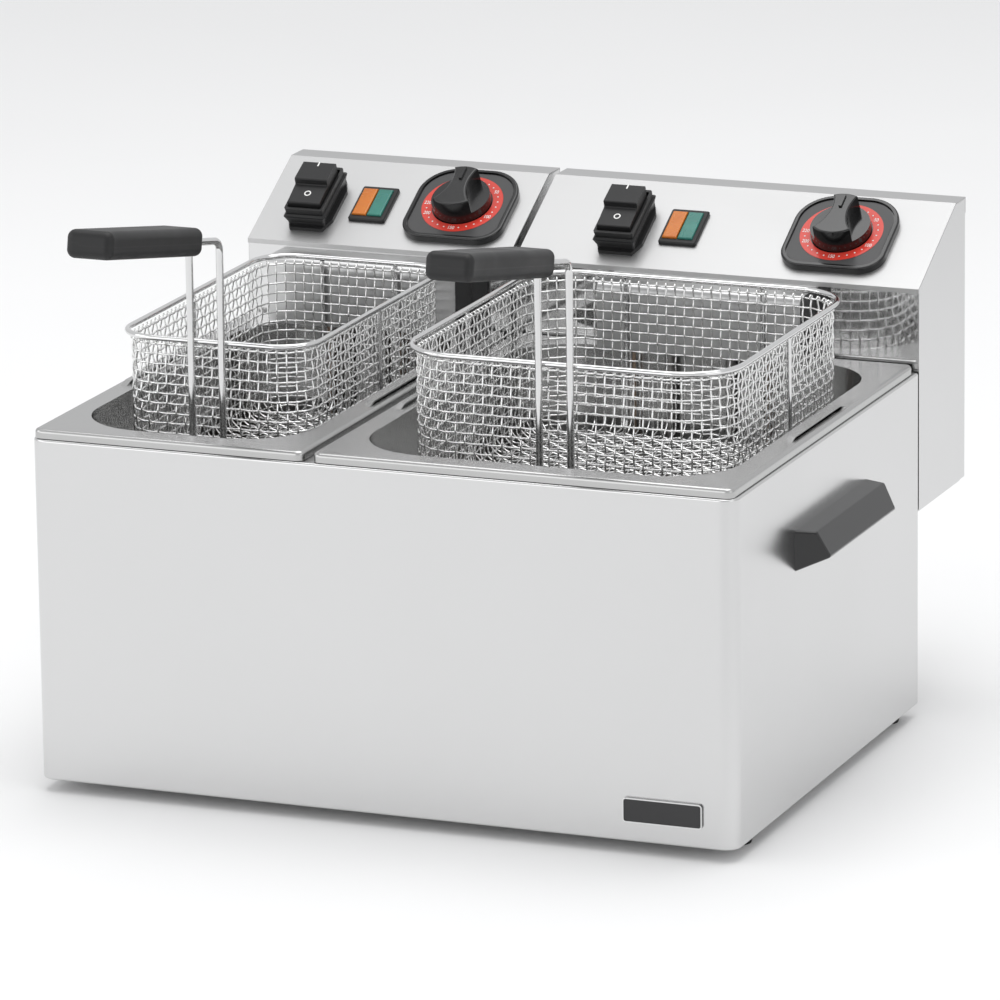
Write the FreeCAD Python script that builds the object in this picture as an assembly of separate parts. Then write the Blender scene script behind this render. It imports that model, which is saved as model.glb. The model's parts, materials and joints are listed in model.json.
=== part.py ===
import FreeCAD, Part
import math
import os
from types import SimpleNamespace

# Countertop deep fryer with two wells.
# Frame: +X to the operator's right, +Y to the back, +Z up, in millimetres.
# Origin: middle of the casing's footprint, on the bench that the feet stand on.

V = FreeCAD.Vector
os.makedirs("parts", exist_ok=True)

# ---------------------------------------------------------------- driving dimensions
# Casing, made to fit the pans' rims
rim_side_gap = 2.0           # casing's side to the outer rims
rim_end_gap = 2.0            # casing's front and back to the rims
rim_forward = 0.4            # the rims sit this much forward of the middle
body_height = 213.0
sheet = 1.0                  # stainless sheet of the casing and the heads
body_corner = 10.0           # front upright corners
fold_edge = 1.5              # outer radius of a folded edge
top_fold = 12.0              # inward fold that carries the pan rims
bottom_fold = 26.0           # inward fold that the feet are fixed through
foot_height = 8.0
foot_radius = 10.0
foot_inset = 16.0
front_foot_setback = 45.0    # the front feet stand further in than the back ones
foot_stem = 3.0              # radius of the stem through the fold

# Gastronorm pans
pan_depth = 150.0
pan_length = 325.0           # front to back, the same for every pan here
pan_sheet = 0.8
rim_drop = 5.7               # turned-down edge of the rim
rim_corner = 5.0
rim_flange = 15.5            # flat from the rim's edge to the opening
pan_corner = 45.0            # upright corners of the opening
pan_taper = 3.0              # each wall leans in by this much at the floor
pan_floor_edge = 14.0        # rounding between wall and floor
pan_gap = 6.0                # between the two rims
seat_gap = 0.3               # rim edge above the fold, box above the flange
lance_length = 94.0          # raised strip on each long flange
lance_width = 4.0
lance_rise = 2.2
lance_inset = 7.0            # strip's middle from the rim's edge

# Control heads
head_gap = 4.8               # between the two heads
head_setback = 2.0           # head's front wall behind the casing's back
head_depth = 89.0
head_drop = 95.0             # head's underside below the rim
lip_height = 47.3            # lower edge of the sloping panel above the rim
panel_run = 70.9             # sloping panel, level distance
panel_rise = 38.8            # sloping panel, height gained
cover_flange = 10.0          # cover's turned-down edge at the back
cover_hem = 3.0              # cover's turned-down edge at the front

# Element box
box_depth = 30.0
box_height = 43.0
box_edge = 6.0
box_cap = 3.0                # black end caps
cap_recess = 0.6
cap_fit = 0.1
leg_setback = 4.3            # element legs behind the box's front face
element_radius = 3.1
element_clear = 24.0         # tube's underside above the pan's floor
element_bend = 10.0
bulb_radius = 3.0
bulb_length = 90.0
capillary_radius = 1.25
bulb_drop = 10.0             # bulbs below the element tube's middle

# Controls, on the sloping panel; heights are above it
switch_below = 6.9           # switch's middle below the panel's middle, along the slope
lamp_below = 2.4
dial_above = 1.1
switch_lamp_gap = 9.3
flange_half = 15.2           # half the width of the switch's flange
flange_half_length = 24.0
mouth_half = 11.6            # half the width of the switch housing's mouth
mouth_half_length = 19.4
housing_height = 15.5
rocker_side_gap = 0.5
rocker_pivot = 11.5
lamp_width = 25.0
lamp_length = 32.0
lamp_height = 2.6
lens_length = 25.0
lens_width = 9.8
lens_left = -10.6
bezel_width = 68.0
bezel_length = 67.0
bezel_low_corner = 16.0
bezel_high_corner = 24.0
bezel_height = 5.0
bezel_recess = 1.2
bezel_rim = 2.8
ring_outer = 26.5
ring_inner = 19.8
ring_thick = 0.4
knob_radius = 19.2
knob_height = 16.0
knob_shelf = 6.0             # height of the two shelves beside the finger grip
knob_gap = 0.4
grip_waist = 5.6             # half the finger grip's least width
scoop_radius = 32.0          # the two hollows that leave the finger grip
scoop_forward = 5.3          # their middle, towards the pointer
pointer_height = 1.2
shaft_radius = 3.0
shaft_fit = 0.05

# Backs of the heads
gland_thread = 8.0
gland_rise = 34.0            # gland and reset button above the head's underside
gland_from_side = 34.0
reset_radius = 3.0
reset_from_side = 40.0

# Baskets
basket_front_clear = 49.65   # pan's opening to the middle of the rim wire
basket_height = 99.0         # middle of rim wire to the mesh floor's underside
mesh_thick = 2.0
mesh_edge = 9.0              # rounding between mesh wall and floor
rim_wire = 1.75              # radii of the wires
rib_wire = 1.5
rib_front_stop = 12.0        # lengthwise ribs end this far behind the front wall
handle_wire = 2.25
weld_gap = 0.1               # welded wires lie this close to each other
mesh_fit = 0.2
handle_spread = 20.0         # between the two handle wires
handle_rise = 64.0           # bend above the rim
handle_bend = 8.0
handle_tilt = 11.1           # degrees above level
handle_out = 32.0            # bare wire between the bend and the grip
basket_back_gap = 0.3        # rim behind, to the element box
basket_floor_gap = 3.0       # lowered basket above the element
grip_width = 29.5
grip_height = 17.0
grip_length = 134.5
grip_round = 5.0
grip_step = 1.6
grip_hold = 70.0             # wire inside the grip
wire_fit = 0.1

# Carry handles
carry_length = 131.0
carry_root = 25.0            # height where it meets the casing
carry_reach = 20.7
carry_nose = 12.4            # flat top before the face slopes down
carry_lip = 9.0              # lower edge of the face above the root's lower edge
carry_wall = 3.2
carry_end_slope = 6.5
carry_below_rim = 75.0       # root's lower edge below the rim
carry_behind_middle = 4.0

# Badge
badge_width = 50.0
badge_height = 15.2
badge_thick = 1.6
badge_from_side = 20.8
badge_from_bottom = 12.1

# What differs between the two sides. Each width is the pan's gastronorm width. The controls share out
# the free width of their panel: so much of it left of the switch, and so much right of the dial.
LEFT = SimpleNamespace(
    tag="left", pan_width=176.0, box_width=128.0, leg_x=12.0, element_side_clear=22.5, inner_run=0.36,
    bulb_x=24.0, switch_free=0.4640, dial_free=0.2396,
    basket_side_clear=9.75, basket_corner=25.0, basket_hang=45.4, basket_shift=0.0, rib_x=25.0)
RIGHT = SimpleNamespace(
    tag="right", pan_width=265.0, box_width=134.0, leg_x=20.0, element_side_clear=27.0, inner_run=0.378,
    bulb_x=44.0, switch_free=0.3618, dial_free=0.2120,
    basket_side_clear=12.5, basket_corner=36.0, basket_hang=48.9, basket_shift=-1.5, rib_x=45.0)

# ---------------------------------------------------------------- worked out from them
body_width = LEFT.pan_width + RIGHT.pan_width + pan_gap + 2 * rim_side_gap
body_depth = pan_length + 2 * rim_end_gap
front = -body_depth / 2
back = body_depth / 2
casing_base = foot_height
casing_top = foot_height + body_height
rim_top = casing_top + seat_gap + rim_drop
pan_floor = rim_top - pan_depth + pan_sheet
rim_front = front + rim_end_gap - rim_forward
rim_back = rim_front + pan_length
open_front = rim_front + rim_flange
open_back = rim_back - rim_flange

head_front = back + head_setback
head_back = head_front + head_depth
head_base = rim_top - head_drop
lip_z = rim_top + lip_height
panel_top = lip_z + panel_rise
panel_angle = math.degrees(math.atan2(panel_rise, panel_run))
panel_middle = math.hypot(panel_run, panel_rise) / 2
switch_v = panel_middle - switch_below       # up the slope from the lip, to each control's middle
lamp_v = panel_middle - lamp_below
dial_v = panel_middle + dial_above
gland_z = head_base + gland_rise

box_front = head_front - box_depth
box_base = rim_top + seat_gap
box_top = rim_top + box_height
leg_y = box_front + leg_setback
element_z = pan_floor + element_clear + element_radius
bulb_z = element_z - bulb_drop

LEFT.rim_x = -body_width / 2 + rim_side_gap
RIGHT.rim_x = LEFT.rim_x + LEFT.pan_width + pan_gap
split_x = LEFT.rim_x + LEFT.pan_width + pan_gap / 2
LEFT.head_x = (-body_width / 2, split_x - head_gap / 2)
RIGHT.head_x = (split_x + head_gap / 2, body_width / 2)
SIDES = (LEFT, RIGHT)
for side in SIDES:
    side.mid = side.rim_x + side.pan_width / 2
    half_opening = side.pan_width / 2 - rim_flange
    side.outer_x = half_opening - side.element_side_clear
    side.inner_x = side.outer_x * side.inner_run
    side.basket_width = 2 * (half_opening - side.basket_side_clear)
    side.basket_rim = rim_top + side.basket_hang
    side.basket_mid = side.mid + side.basket_shift
    side.basket_back = box_front - basket_back_gap - rim_wire
    side.basket_front = open_front + basket_front_clear
    side.handle_y = side.basket_front - rim_wire - handle_wire - weld_gap
    side.basket_low = side.basket_rim - basket_height - 4 * rib_wire - 2 * weld_gap
    side.basket_drop = side.basket_low - (element_z + element_radius + basket_floor_gap)
    panel_width = side.head_x[1] - side.head_x[0]
    free = panel_width - 2 * flange_half - switch_lamp_gap - lamp_width - bezel_width
    side.switch_u = side.switch_free * free + flange_half
    side.lamp_u = side.switch_u + flange_half + switch_lamp_gap + lamp_width / 2
    side.dial_u = panel_width - side.dial_free * free - bezel_width / 2


# ---------------------------------------------------------------- shape helpers
def box(x0, x1, y0, y1, z0, z1):
    return Part.makeBox(x1 - x0, y1 - y0, z1 - z0, V(x0, y0, z0))


def cylinder(centre, axis, radius, length):
    return Part.makeCylinder(radius, length, V(*centre), V(*axis))


def prism_along_x(points, x0, x1):
    """A solid with the given (y, z) outline, from x0 to x1."""
    corners = [V(x0, y, z) for y, z in points]
    return Part.Face(Part.makePolygon(corners + corners[:1])).extrude(V(x1 - x0, 0, 0))


def prism_along_z(points, z0, z1):
    """A solid with the given (x, y) outline, from z0 to z1."""
    corners = [V(x, y, z0) for x, y in points]
    return Part.Face(Part.makePolygon(corners + corners[:1])).extrude(V(0, 0, z1 - z0))


def outline(x0, x1, y0, y1, front_r, back_r, z):
    """A level rectangle with rounded corners; a radius of zero leaves the corner sharp."""
    spots = [(x0, y0, front_r, 180), (x1, y0, front_r, 270), (x1, y1, back_r, 0), (x0, y1, back_r, 90)]
    ends = []
    edges = []
    for x, y, r, start in spots:
        cx = x + r if x == x0 else x - r
        cy = y + r if y == y0 else y - r
        angles = [math.radians(start + a) for a in (0, 45, 90)]
        points = [V(cx + r * math.cos(a), cy + r * math.sin(a), z) for a in angles]
        if ends:
            edges.append(Part.makeLine(ends[-1], points[0]))
        else:
            first = points[0]
        if r > 0:
            edges.append(Part.Arc(*points).toShape())
        ends.append(points[2])
    edges.append(Part.makeLine(ends[-1], first))
    return Part.Wire(edges)


def slab(x0, x1, y0, y1, front_r, back_r, z0, z1):
    return Part.Face(outline(x0, x1, y0, y1, front_r, back_r, z0)).extrude(V(0, 0, z1 - z0))


def edges_at(shape, z):
    """The edges of a solid that lie wholly at one height."""
    return [e for e in shape.Edges if abs(e.BoundBox.ZMin - z) < 0.01 and abs(e.BoundBox.ZMax - z) < 0.01]


def bent_wire(points, bend, radius):
    """A round wire along straight runs joined by tangent arcs of one radius."""
    corners = [V(*p) for p in points]
    edges = []
    start = corners[0]
    for before, corner, after in zip(corners, corners[1:], corners[2:]):
        back_dir = (before - corner).normalize()
        on_dir = (after - corner).normalize()
        half_turn = (math.pi - back_dir.getAngle(on_dir)) / 2
        reach = bend * math.tan(half_turn)
        arc_start = corner + back_dir * reach
        arc_end = corner + on_dir * reach
        arc_mid = corner + (back_dir + on_dir).normalize() * (bend / math.cos(half_turn) - bend)
        edges.append(Part.makeLine(start, arc_start))
        edges.append(Part.Arc(arc_start, arc_mid, arc_end).toShape())
        start = arc_end
    edges.append(Part.makeLine(start, corners[-1]))
    ring = Part.Wire([Part.Circle(corners[0], corners[1] - corners[0], radius).toShape()])
    return Part.Wire(edges).makePipeShell([ring], True, False)


def wire_loop(x0, x1, y0, y1, corner, z, radius):
    """A closed level loop of round wire, bent as two halves that meet at the middle of two sides."""
    mid = (y0 + y1) / 2
    halves = [[(x0, mid, z), (x0, y, z), (x1, y, z), (x1, mid, z)] for y in (y0, y1)]
    return bent_wire(halves[0], corner, radius).fuse(bent_wire(halves[1], corner, radius))


def on_panel(shape, side, u, v):
    """Moves a shape from the XY plane to the sloping panel: u from its left edge, v up the slope."""
    slope = math.radians(panel_angle)
    place = V(side.head_x[0] + u, head_front + v * math.cos(slope), lip_z + v * math.sin(slope))
    shape = shape.copy()
    shape.Placement = FreeCAD.Placement(place, FreeCAD.Rotation(V(1, 0, 0), panel_angle))
    return shape


def save(name, shape):
    shape.exportStep("parts/" + name + ".step")


# ---------------------------------------------------------------- casing
def casing_outline(inset, z0, z1, open_back_by=0.0):
    """The casing's footprint, moved in by inset at the front and the sides."""
    x = body_width / 2 - inset
    corner = max(body_corner - inset, 0.5)
    return slab(-x, x, front + inset, back + open_back_by, corner, 0, z0, z1)


def make_casing():
    shell = casing_outline(0, casing_base, casing_top)
    level = edges_at(shell, casing_base) + edges_at(shell, casing_top)
    shell = shell.makeFillet(fold_edge, [e for e in level if e.BoundBox.YMin < back - 1])
    shell = shell.cut(casing_outline(sheet, casing_base + sheet, casing_top - sheet, sheet))
    shell = shell.cut(casing_outline(top_fold, casing_top - 2 * sheet, casing_top + sheet, sheet))
    shell = shell.cut(casing_outline(bottom_fold, casing_base - sheet, casing_base + 2 * sheet, sheet))
    for x, y in foot_places():
        shell = shell.cut(cylinder((x, y, casing_base - sheet), (0, 0, 1), foot_stem, 3 * sheet))
    return shell


def foot_places():
    x = body_width / 2 - foot_inset
    return [(sx * x, y) for sx in (-1, 1) for y in (front + front_foot_setback, back - foot_inset)]


def make_base_plate():
    low = casing_base + sheet
    plate = casing_outline(sheet, low, low + sheet, -sheet)
    for x, y in foot_places():
        plate = plate.cut(cylinder((x, y, low - sheet), (0, 0, 1), foot_stem, 3 * sheet))
    slot_length = 60.0
    for row in (-1, 1):
        for k in range(-4, 5):
            x = k * 36.0
            y = row * body_depth / 5
            plate = plate.cut(box(x - 3, x + 3, y - slot_length / 2, y + slot_length / 2, low - 1, low + 2))
    return plate


def make_back_panel():
    x = body_width / 2 - sheet
    panel = box(-x, x, back - sheet, back, casing_base + sheet, casing_top - sheet)
    for k in range(-5, 6):
        panel = panel.cut(box(k * 34 - 11, k * 34 + 11, back - 2 * sheet, back + sheet, 40, 44))
        panel = panel.cut(box(k * 34 - 11, k * 34 + 11, back - 2 * sheet, back + sheet, 54, 58))
    return panel


def make_divider_rail():
    """Channel that carries the inner rims; it tucks under the front fold."""
    half = (pan_gap + 2 * (rim_flange - pan_sheet)) / 2 - 1.5
    leg = 14.0
    y0 = front + top_fold
    y1 = back - sheet
    rail = box(split_x - half, split_x + half, y0, y1, casing_top - sheet, casing_top)
    for edge in (split_x - half, split_x + half - sheet):
        rail = rail.fuse(box(edge, edge + sheet, y0, y1, casing_top - leg, casing_top))
    tab = box(split_x - half, split_x + half, front + 2 * sheet, y0 + 10,
              casing_top - 2 * sheet, casing_top - sheet)
    return rail.fuse(tab).removeSplitter()


def make_feet():
    feet = []
    head_r = foot_stem + 1.6
    for x, y in foot_places():
        pad = Part.makeCone(foot_radius - 1.5, foot_radius, foot_height - 1, V(x, y, 0))
        pad = pad.fuse(cylinder((x, y, foot_height - 1), (0, 0, 1), foot_radius, 1))
        stem = cylinder((x, y, foot_height), (0, 0, 1), foot_stem, 2 * sheet)
        head = cylinder((x, y, foot_height + 2 * sheet), (0, 0, 1), head_r, 2.5)
        feet.append(pad.fuse(stem).fuse(head).removeSplitter())
    return Part.makeCompound(feet)


def make_carry_handle(sign):
    """Hollow moulded grip, open underneath for the fingers; sign is +1 on the right, -1 on the left."""
    low = rim_top - carry_below_rim
    mid = carry_behind_middle
    half = carry_length / 2

    def section(points, y0, y1):
        corners = [V(body_width / 2 + a, y0, low + z) for a, z in points]
        return Part.Face(Part.makePolygon(corners + corners[:1])).extrude(V(0, y1 - y0, 0))

    outer = section([(0, 0), (0, carry_root), (carry_nose, carry_root - 0.4), (carry_reach, carry_lip)],
                    mid - half, mid + half)
    for end in (-1, 1):
        wedge = [(body_width / 2 - 1, mid + end * (half + 0.2)),
                 (body_width / 2 + carry_reach + 1, mid + end * (half - carry_end_slope)),
                 (body_width / 2 + carry_reach + 1, mid + end * (half + 5)),
                 (body_width / 2 - 1, mid + end * (half + 5))]
        outer = outer.cut(prism_along_z(wedge, low - 1, low + carry_root + 1))
    keep = [e for e in outer.Edges if e.BoundBox.XMin > body_width / 2 + 0.5 or e.BoundBox.XLength > 1]
    outer = outer.makeFillet(1.6, keep)
    w = carry_wall
    hollow = [(w, -2), (w, carry_root - w), (carry_nose - 0.8, carry_root - w),
              (carry_reach - w, carry_lip + 1.2), (carry_reach - w, -2)]
    outer = outer.cut(section(hollow, mid - half + carry_end_slope + w, mid + half - carry_end_slope - w))
    if sign < 0:
        outer = outer.mirror(V(0, 0, 0), V(1, 0, 0))
    return outer


def make_badge():
    x1 = body_width / 2 - badge_from_side
    x0 = x1 - badge_width
    z0 = casing_base + badge_from_bottom
    plate = slab(x0, x1, z0, z0 + badge_height, 2.2, 2.2, 0, badge_thick)
    plate = plate.cut(slab(x0 + 0.9, x1 - 0.9, z0 + 0.9, z0 + badge_height - 0.9, 1.5, 1.5,
                           badge_thick - 0.35, badge_thick + 1))
    plate.rotate(V(0, 0, 0), V(1, 0, 0), 90)
    plate.translate(V(0, front, 0))
    return plate


# ---------------------------------------------------------------- pans
def make_pan(side):
    x0 = side.rim_x
    x1 = x0 + side.pan_width
    ox0 = x0 + rim_flange
    ox1 = x1 - rim_flange

    def tub(grow, floor, top):
        inset = pan_taper
        upper = outline(ox0 - grow, ox1 + grow, open_front - grow, open_back + grow,
                        pan_corner + grow, pan_corner + grow, top)
        lower = outline(ox0 + inset - grow, ox1 - inset + grow, open_front + inset - grow,
                        open_back - inset + grow, pan_corner + grow, pan_corner + grow, floor)
        body = Part.makeLoft([upper, lower], True, True)
        return body.makeFillet(pan_floor_edge + grow, edges_at(body, floor))

    rim = slab(x0, x1, rim_front, rim_back, rim_corner, rim_corner, rim_top - rim_drop, rim_top)
    rim = rim.makeFillet(2.4, edges_at(rim, rim_top))
    inner_corner = rim_corner - pan_sheet
    under = slab(x0 + pan_sheet, x1 - pan_sheet, rim_front + pan_sheet, rim_back - pan_sheet,
                 inner_corner, inner_corner, rim_top - rim_drop - 1, rim_top - pan_sheet)
    under = under.makeFillet(1.6, edges_at(under, rim_top - pan_sheet))
    rim = rim.cut(under)
    shell = rim.fuse(tub(pan_sheet, rim_top - pan_depth, rim_top - pan_sheet / 2))
    shell = shell.cut(tub(0, pan_floor, rim_top + 0.5))
    for x in (x0 + lance_inset, x1 - lance_inset):
        y0 = -lance_length / 2
        y1 = lance_length / 2
        half = lance_width / 2
        shell = shell.cut(box(x - half, x + half, y0, y1, rim_top - pan_sheet - 0.1, rim_top + 0.1))
        low = rim_top - pan_sheet
        ramp = 7.0
        up = lance_rise
        under_strip = [(y0, low), (y0 + ramp, low + up), (y1 - ramp, low + up), (y1, low)]
        strip = under_strip + [(y, z + pan_sheet) for y, z in reversed(under_strip)]
        shell = shell.fuse(prism_along_x(strip, x - half, x + half))
    return shell.removeSplitter()


# ---------------------------------------------------------------- control heads
def under_cover_line():
    """The cover's underside as (y, z) corners, from the back to the front wall."""
    slope = math.radians(panel_angle)
    return [(head_back, panel_top - sheet),
            (head_front + panel_run + sheet * math.tan(slope / 2), panel_top - sheet),
            (head_front, lip_z - sheet / math.cos(slope))]


def make_head_cover(side):
    """One bent sheet: front hem, sloping panel, flat top and a turned-down edge at the back."""
    x0, x1 = side.head_x
    lip = lip_z - sheet * panel_rise / panel_run
    outer = [(head_front - sheet, lip - cover_hem), (head_front - sheet, lip),
             (head_front + panel_run, panel_top), (head_back + sheet, panel_top),
             (head_back + sheet, panel_top - cover_flange)]
    inner = [(head_back, panel_top - cover_flange)] + under_cover_line() + [(head_front, lip - cover_hem)]
    cover = prism_along_x(outer + inner, x0, x1)
    for cutter in panel_cuts(side):
        cover = cover.cut(cutter)
    return cover


def panel_cuts(side):
    """Cut-outs of the sloping panel for the switch, the lamps and the thermostat's shaft."""
    return [on_panel(box(-10, 10, -16, 16, -4, 4), side, side.switch_u, switch_v),
            on_panel(box(-11, 11, -14, 14, -4, 4), side, side.lamp_u, lamp_v),
            on_panel(Part.makeCylinder(6, 8, V(0, 0, -4)), side, side.dial_u, dial_v)]


def under_cover(x0, x1):
    """Everything below the cover's underside, to trim the walls to."""
    return prism_along_x([(head_back, head_base)] + under_cover_line() + [(head_front, head_base)], x0, x1)


def make_head_shell(side):
    """Both sides and the back of the head, one bent sheet."""
    x0, x1 = side.head_x
    shell = under_cover(x0, x1)
    shell = shell.cut(box(x0 + sheet, x1 - sheet, head_front - 1, head_back - sheet,
                          head_base - 1, panel_top + 1))
    shell = shell.cut(box(x0 - 1, x1 + 1, head_front - 1, head_back + 1, head_base - 1, head_base + sheet))
    mid = (x0 + x1) / 2
    for k in range(-2, 3):
        shell = shell.cut(box(mid + k * 22 - 8, mid + k * 22 + 8, head_back - 2, head_back + 1,
                              panel_top - 40, panel_top - 37))
    shell = shell.cut(cylinder((gland_x(side), head_back - 3, gland_z), (0, 1, 0), gland_thread, 6))
    shell = shell.cut(cylinder((reset_x(side), head_back - 3, gland_z), (0, 1, 0), reset_radius + 0.05, 6))
    return shell


def make_head_front(side):
    """Polished wall that faces the wells."""
    x0, x1 = side.head_x
    wall = under_cover(x0 + sheet, x1 - sheet)
    wall = wall.cut(box(x0 - 1, x1 + 1, head_front + sheet, head_back + 1, head_base - 1, panel_top + 1))
    wall = wall.cut(box(x0 - 1, x1 + 1, head_front - 1, head_back + 1, head_base - 1, head_base + sheet))
    sill = box_base + 8.0
    half = 40.0
    return wall.cut(box(side.mid - half, side.mid + half, head_front - 1, head_front + 2 * sheet,
                        sill, sill + half / 2))


def make_head_bottom(side):
    x0, x1 = side.head_x
    plate = box(x0 + 0.5, x1 - 0.5, head_front, head_back - 8, head_base, head_base + sheet)
    for k in range(-3, 4):
        x = (x0 + x1) / 2 + k * 14
        plate = plate.cut(box(x - 2, x + 2, head_front + 20, head_back - 30, head_base - 1, head_base + 2))
    return plate


def element_box_profile(inset, x0, x1, y_end):
    """The element box's outline with its rounded upper front edge, moved in by inset."""
    body = box(x0, x1, box_front + inset, y_end, box_base + inset, box_top - inset)
    upper_front = [e for e in edges_at(body, box_top - inset) if e.BoundBox.YMax < box_front + inset + 0.01]
    return body.makeFillet(box_edge - inset, upper_front)


def make_element_box(side):
    x0 = side.mid - side.box_width / 2
    x1 = side.mid + side.box_width / 2
    shell = element_box_profile(0, x0, x1, head_front).cut(
        element_box_profile(sheet, x0 - 1, x1 + 1, head_front + 5))
    for path in element_feet(side):
        shell = shell.cut(cylinder((path[0], leg_y, box_base - 1), (0, 0, 1), path[1], 3))
    return shell


def element_feet(side):
    """Where tubes leave the box's underside: (x, radius)."""
    return [(side.mid + s * side.leg_x, element_radius) for s in (-1, 1)] + \
           [(side.mid + s * side.bulb_x, capillary_radius) for s in (-1, 1)]


def make_box_caps(side):
    caps = []
    for end in (-1, 1):
        outer = side.mid + end * (side.box_width / 2 - cap_recess)
        inner = outer - end * box_cap
        caps.append(element_box_profile(sheet + cap_fit, min(outer, inner), max(outer, inner),
                                        head_front - cap_fit))
    return Part.makeCompound(caps)


def make_heating_element(side):
    """One bent tube that makes four long runs above the pan's floor."""
    m = side.mid
    z = element_z
    top = box_base + 5 * sheet
    run_front = open_front + 28
    run_back = leg_y - 34
    inner_back = run_back - 30
    left_half = [(m - side.leg_x, leg_y, top), (m - side.leg_x, leg_y, z), (m - side.leg_x, run_back, z),
                 (m - side.outer_x, run_back, z), (m - side.outer_x, run_front, z),
                 (m - side.inner_x, run_front, z), (m - side.inner_x, inner_back, z)]
    right_half = [(2 * m - x, y, zz) for x, y, zz in reversed(left_half)]
    return bent_wire(left_half + right_half, element_bend, element_radius)


def make_sensor_bulbs(side):
    bulbs = []
    for s in (-1, 1):
        x = side.mid + s * side.bulb_x
        bulb_back = leg_y - 100
        stem = bent_wire([(x, leg_y, box_base + 6), (x, leg_y, bulb_z), (x, bulb_back, bulb_z)],
                         element_bend, capillary_radius)
        bulb = cylinder((x, bulb_back, bulb_z), (0, -1, 0), bulb_radius, bulb_length)
        tip = Part.makeSphere(bulb_radius, V(x, bulb_back - bulb_length, bulb_z))
        bulbs.append(stem.fuse(bulb).fuse(tip))
    return Part.makeCompound(bulbs)


def gland_x(side):
    return side.head_x[0] + gland_from_side


def reset_x(side):
    return side.head_x[1] - reset_from_side


def make_cable_gland(side):
    """Empty cord grip: hexagon flange, domed nut and an inner lock nut."""
    x = gland_x(side)

    def hexagon(radius, y0, y1):
        corners = [V(x + radius * math.cos(a), y0, gland_z + radius * math.sin(a))
                   for a in [math.pi / 3 * k for k in range(6)]]
        return Part.Face(Part.makePolygon(corners + corners[:1])).extrude(V(0, y1 - y0, 0))

    body = hexagon(12.5, head_back, head_back + 5)
    nut = Part.makeCone(11, 7.5, 9, V(x, head_back + 5, gland_z), V(0, 1, 0))
    thread = cylinder((x, head_back - 9, gland_z), (0, 1, 0), gland_thread, 9)
    lock = hexagon(12.0, head_back - sheet - 4, head_back - sheet)
    gland = body.fuse(nut).fuse(thread).fuse(lock)
    return gland.cut(cylinder((x, head_back - 12, gland_z), (0, 1, 0), 4.5, 30))


def make_safety_cutout(side):
    """Overheat cut-out on the back wall; the reset button slides in its collar."""
    x = reset_x(side)
    wall = head_back - sheet
    body = cylinder((x, wall - 22, gland_z), (0, 1, 0), 12, 16)
    collar = cylinder((x, wall - 6, gland_z), (0, 1, 0), 6, 6)
    tabs = box(x - 17, x + 17, wall - 24, wall - 22, gland_z - 3, gland_z + 3)
    cutout = body.fuse(collar).fuse(tabs)
    return cutout.cut(cylinder((x, wall - 14, gland_z), (0, 1, 0), reset_radius + shaft_fit, 20))


def make_reset_button(side):
    x = reset_x(side)
    stem = cylinder((x, head_back - sheet - 10, gland_z), (0, 1, 0), reset_radius, 10 + sheet + 3)
    tip = [e for e in stem.Edges if abs(e.BoundBox.YMin - (head_back + 3)) < 0.01]
    return stem.makeFillet(0.8, tip)


def make_head_screws(side):
    """Pan-head screws that hold the shell's back to the cover and the bottom."""
    x0, x1 = side.head_x
    screws = []
    for x in (x0 + 14, x1 - 14):
        for z, y in ((panel_top - 5.0, head_back + sheet), (head_base + 14, head_back)):
            head = cylinder((x, y, z), (0, 1, 0), 3.6, 2.2)
            head = head.makeFillet(1.0, [e for e in head.Edges if abs(e.BoundBox.YMin - y - 2.2) < 0.01])
            screws.append(head.cut(box(x - 0.4, x + 0.4, y + 1.2, y + 3, z - 2.4, z + 2.4)))
    return Part.makeCompound(screws)


# ---------------------------------------------------------------- controls
def bezel_plate(inset, z0, z1):
    """Plate with wide round upper corners and smaller lower ones."""
    w = bezel_width / 2 - inset
    h = bezel_length / 2 - inset
    return slab(-w, w, -h, h, bezel_low_corner - inset, bezel_high_corner - inset, z0, z1)


def make_dial_bezel(side):
    plate = bezel_plate(0, 0, bezel_height)
    plate = plate.makeFillet(1.3, edges_at(plate, bezel_height))
    plate = plate.cut(bezel_plate(bezel_rim, bezel_height - bezel_recess, bezel_height + 1))
    hub = Part.makeCylinder(5.8, 3, V(0, 0, -3))
    plate = plate.fuse(hub).cut(Part.makeCylinder(shaft_radius + shaft_fit, 20, V(0, 0, -6)))
    return on_panel(plate, side, side.dial_u, dial_v)


def make_dial_ring(side):
    base = bezel_height - bezel_recess
    ring = Part.makeCylinder(ring_outer, ring_thick, V(0, 0, base))
    ring = ring.cut(Part.makeCylinder(ring_inner, 2, V(0, 0, base - 0.5)))
    return on_panel(ring, side, side.dial_u, dial_v)


def make_knob(side):
    """Round knob with two hollows that leave a waisted finger grip; its shaft is moulded in."""
    base = bezel_height - bezel_recess + knob_gap
    top = base + knob_height
    body = Part.makeCone(knob_radius, knob_radius - 0.5, knob_height, V(0, 0, base))
    for sign in (-1, 1):
        middle = V(sign * (grip_waist + scoop_radius), scoop_forward, base + knob_shelf)
        body = body.cut(Part.makeCylinder(scoop_radius, knob_height, middle))
    body = body.makeFillet(1.1, edges_at(body, top))
    pointer = box(-0.9, 0.9, 5.5, 16.2, top - 1, top + pointer_height)
    shaft = Part.makeCylinder(shaft_radius, 22, V(0, 0, base - 20))
    return on_panel(body.fuse(pointer).fuse(shaft).removeSplitter(), side, side.dial_u, dial_v)


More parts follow.
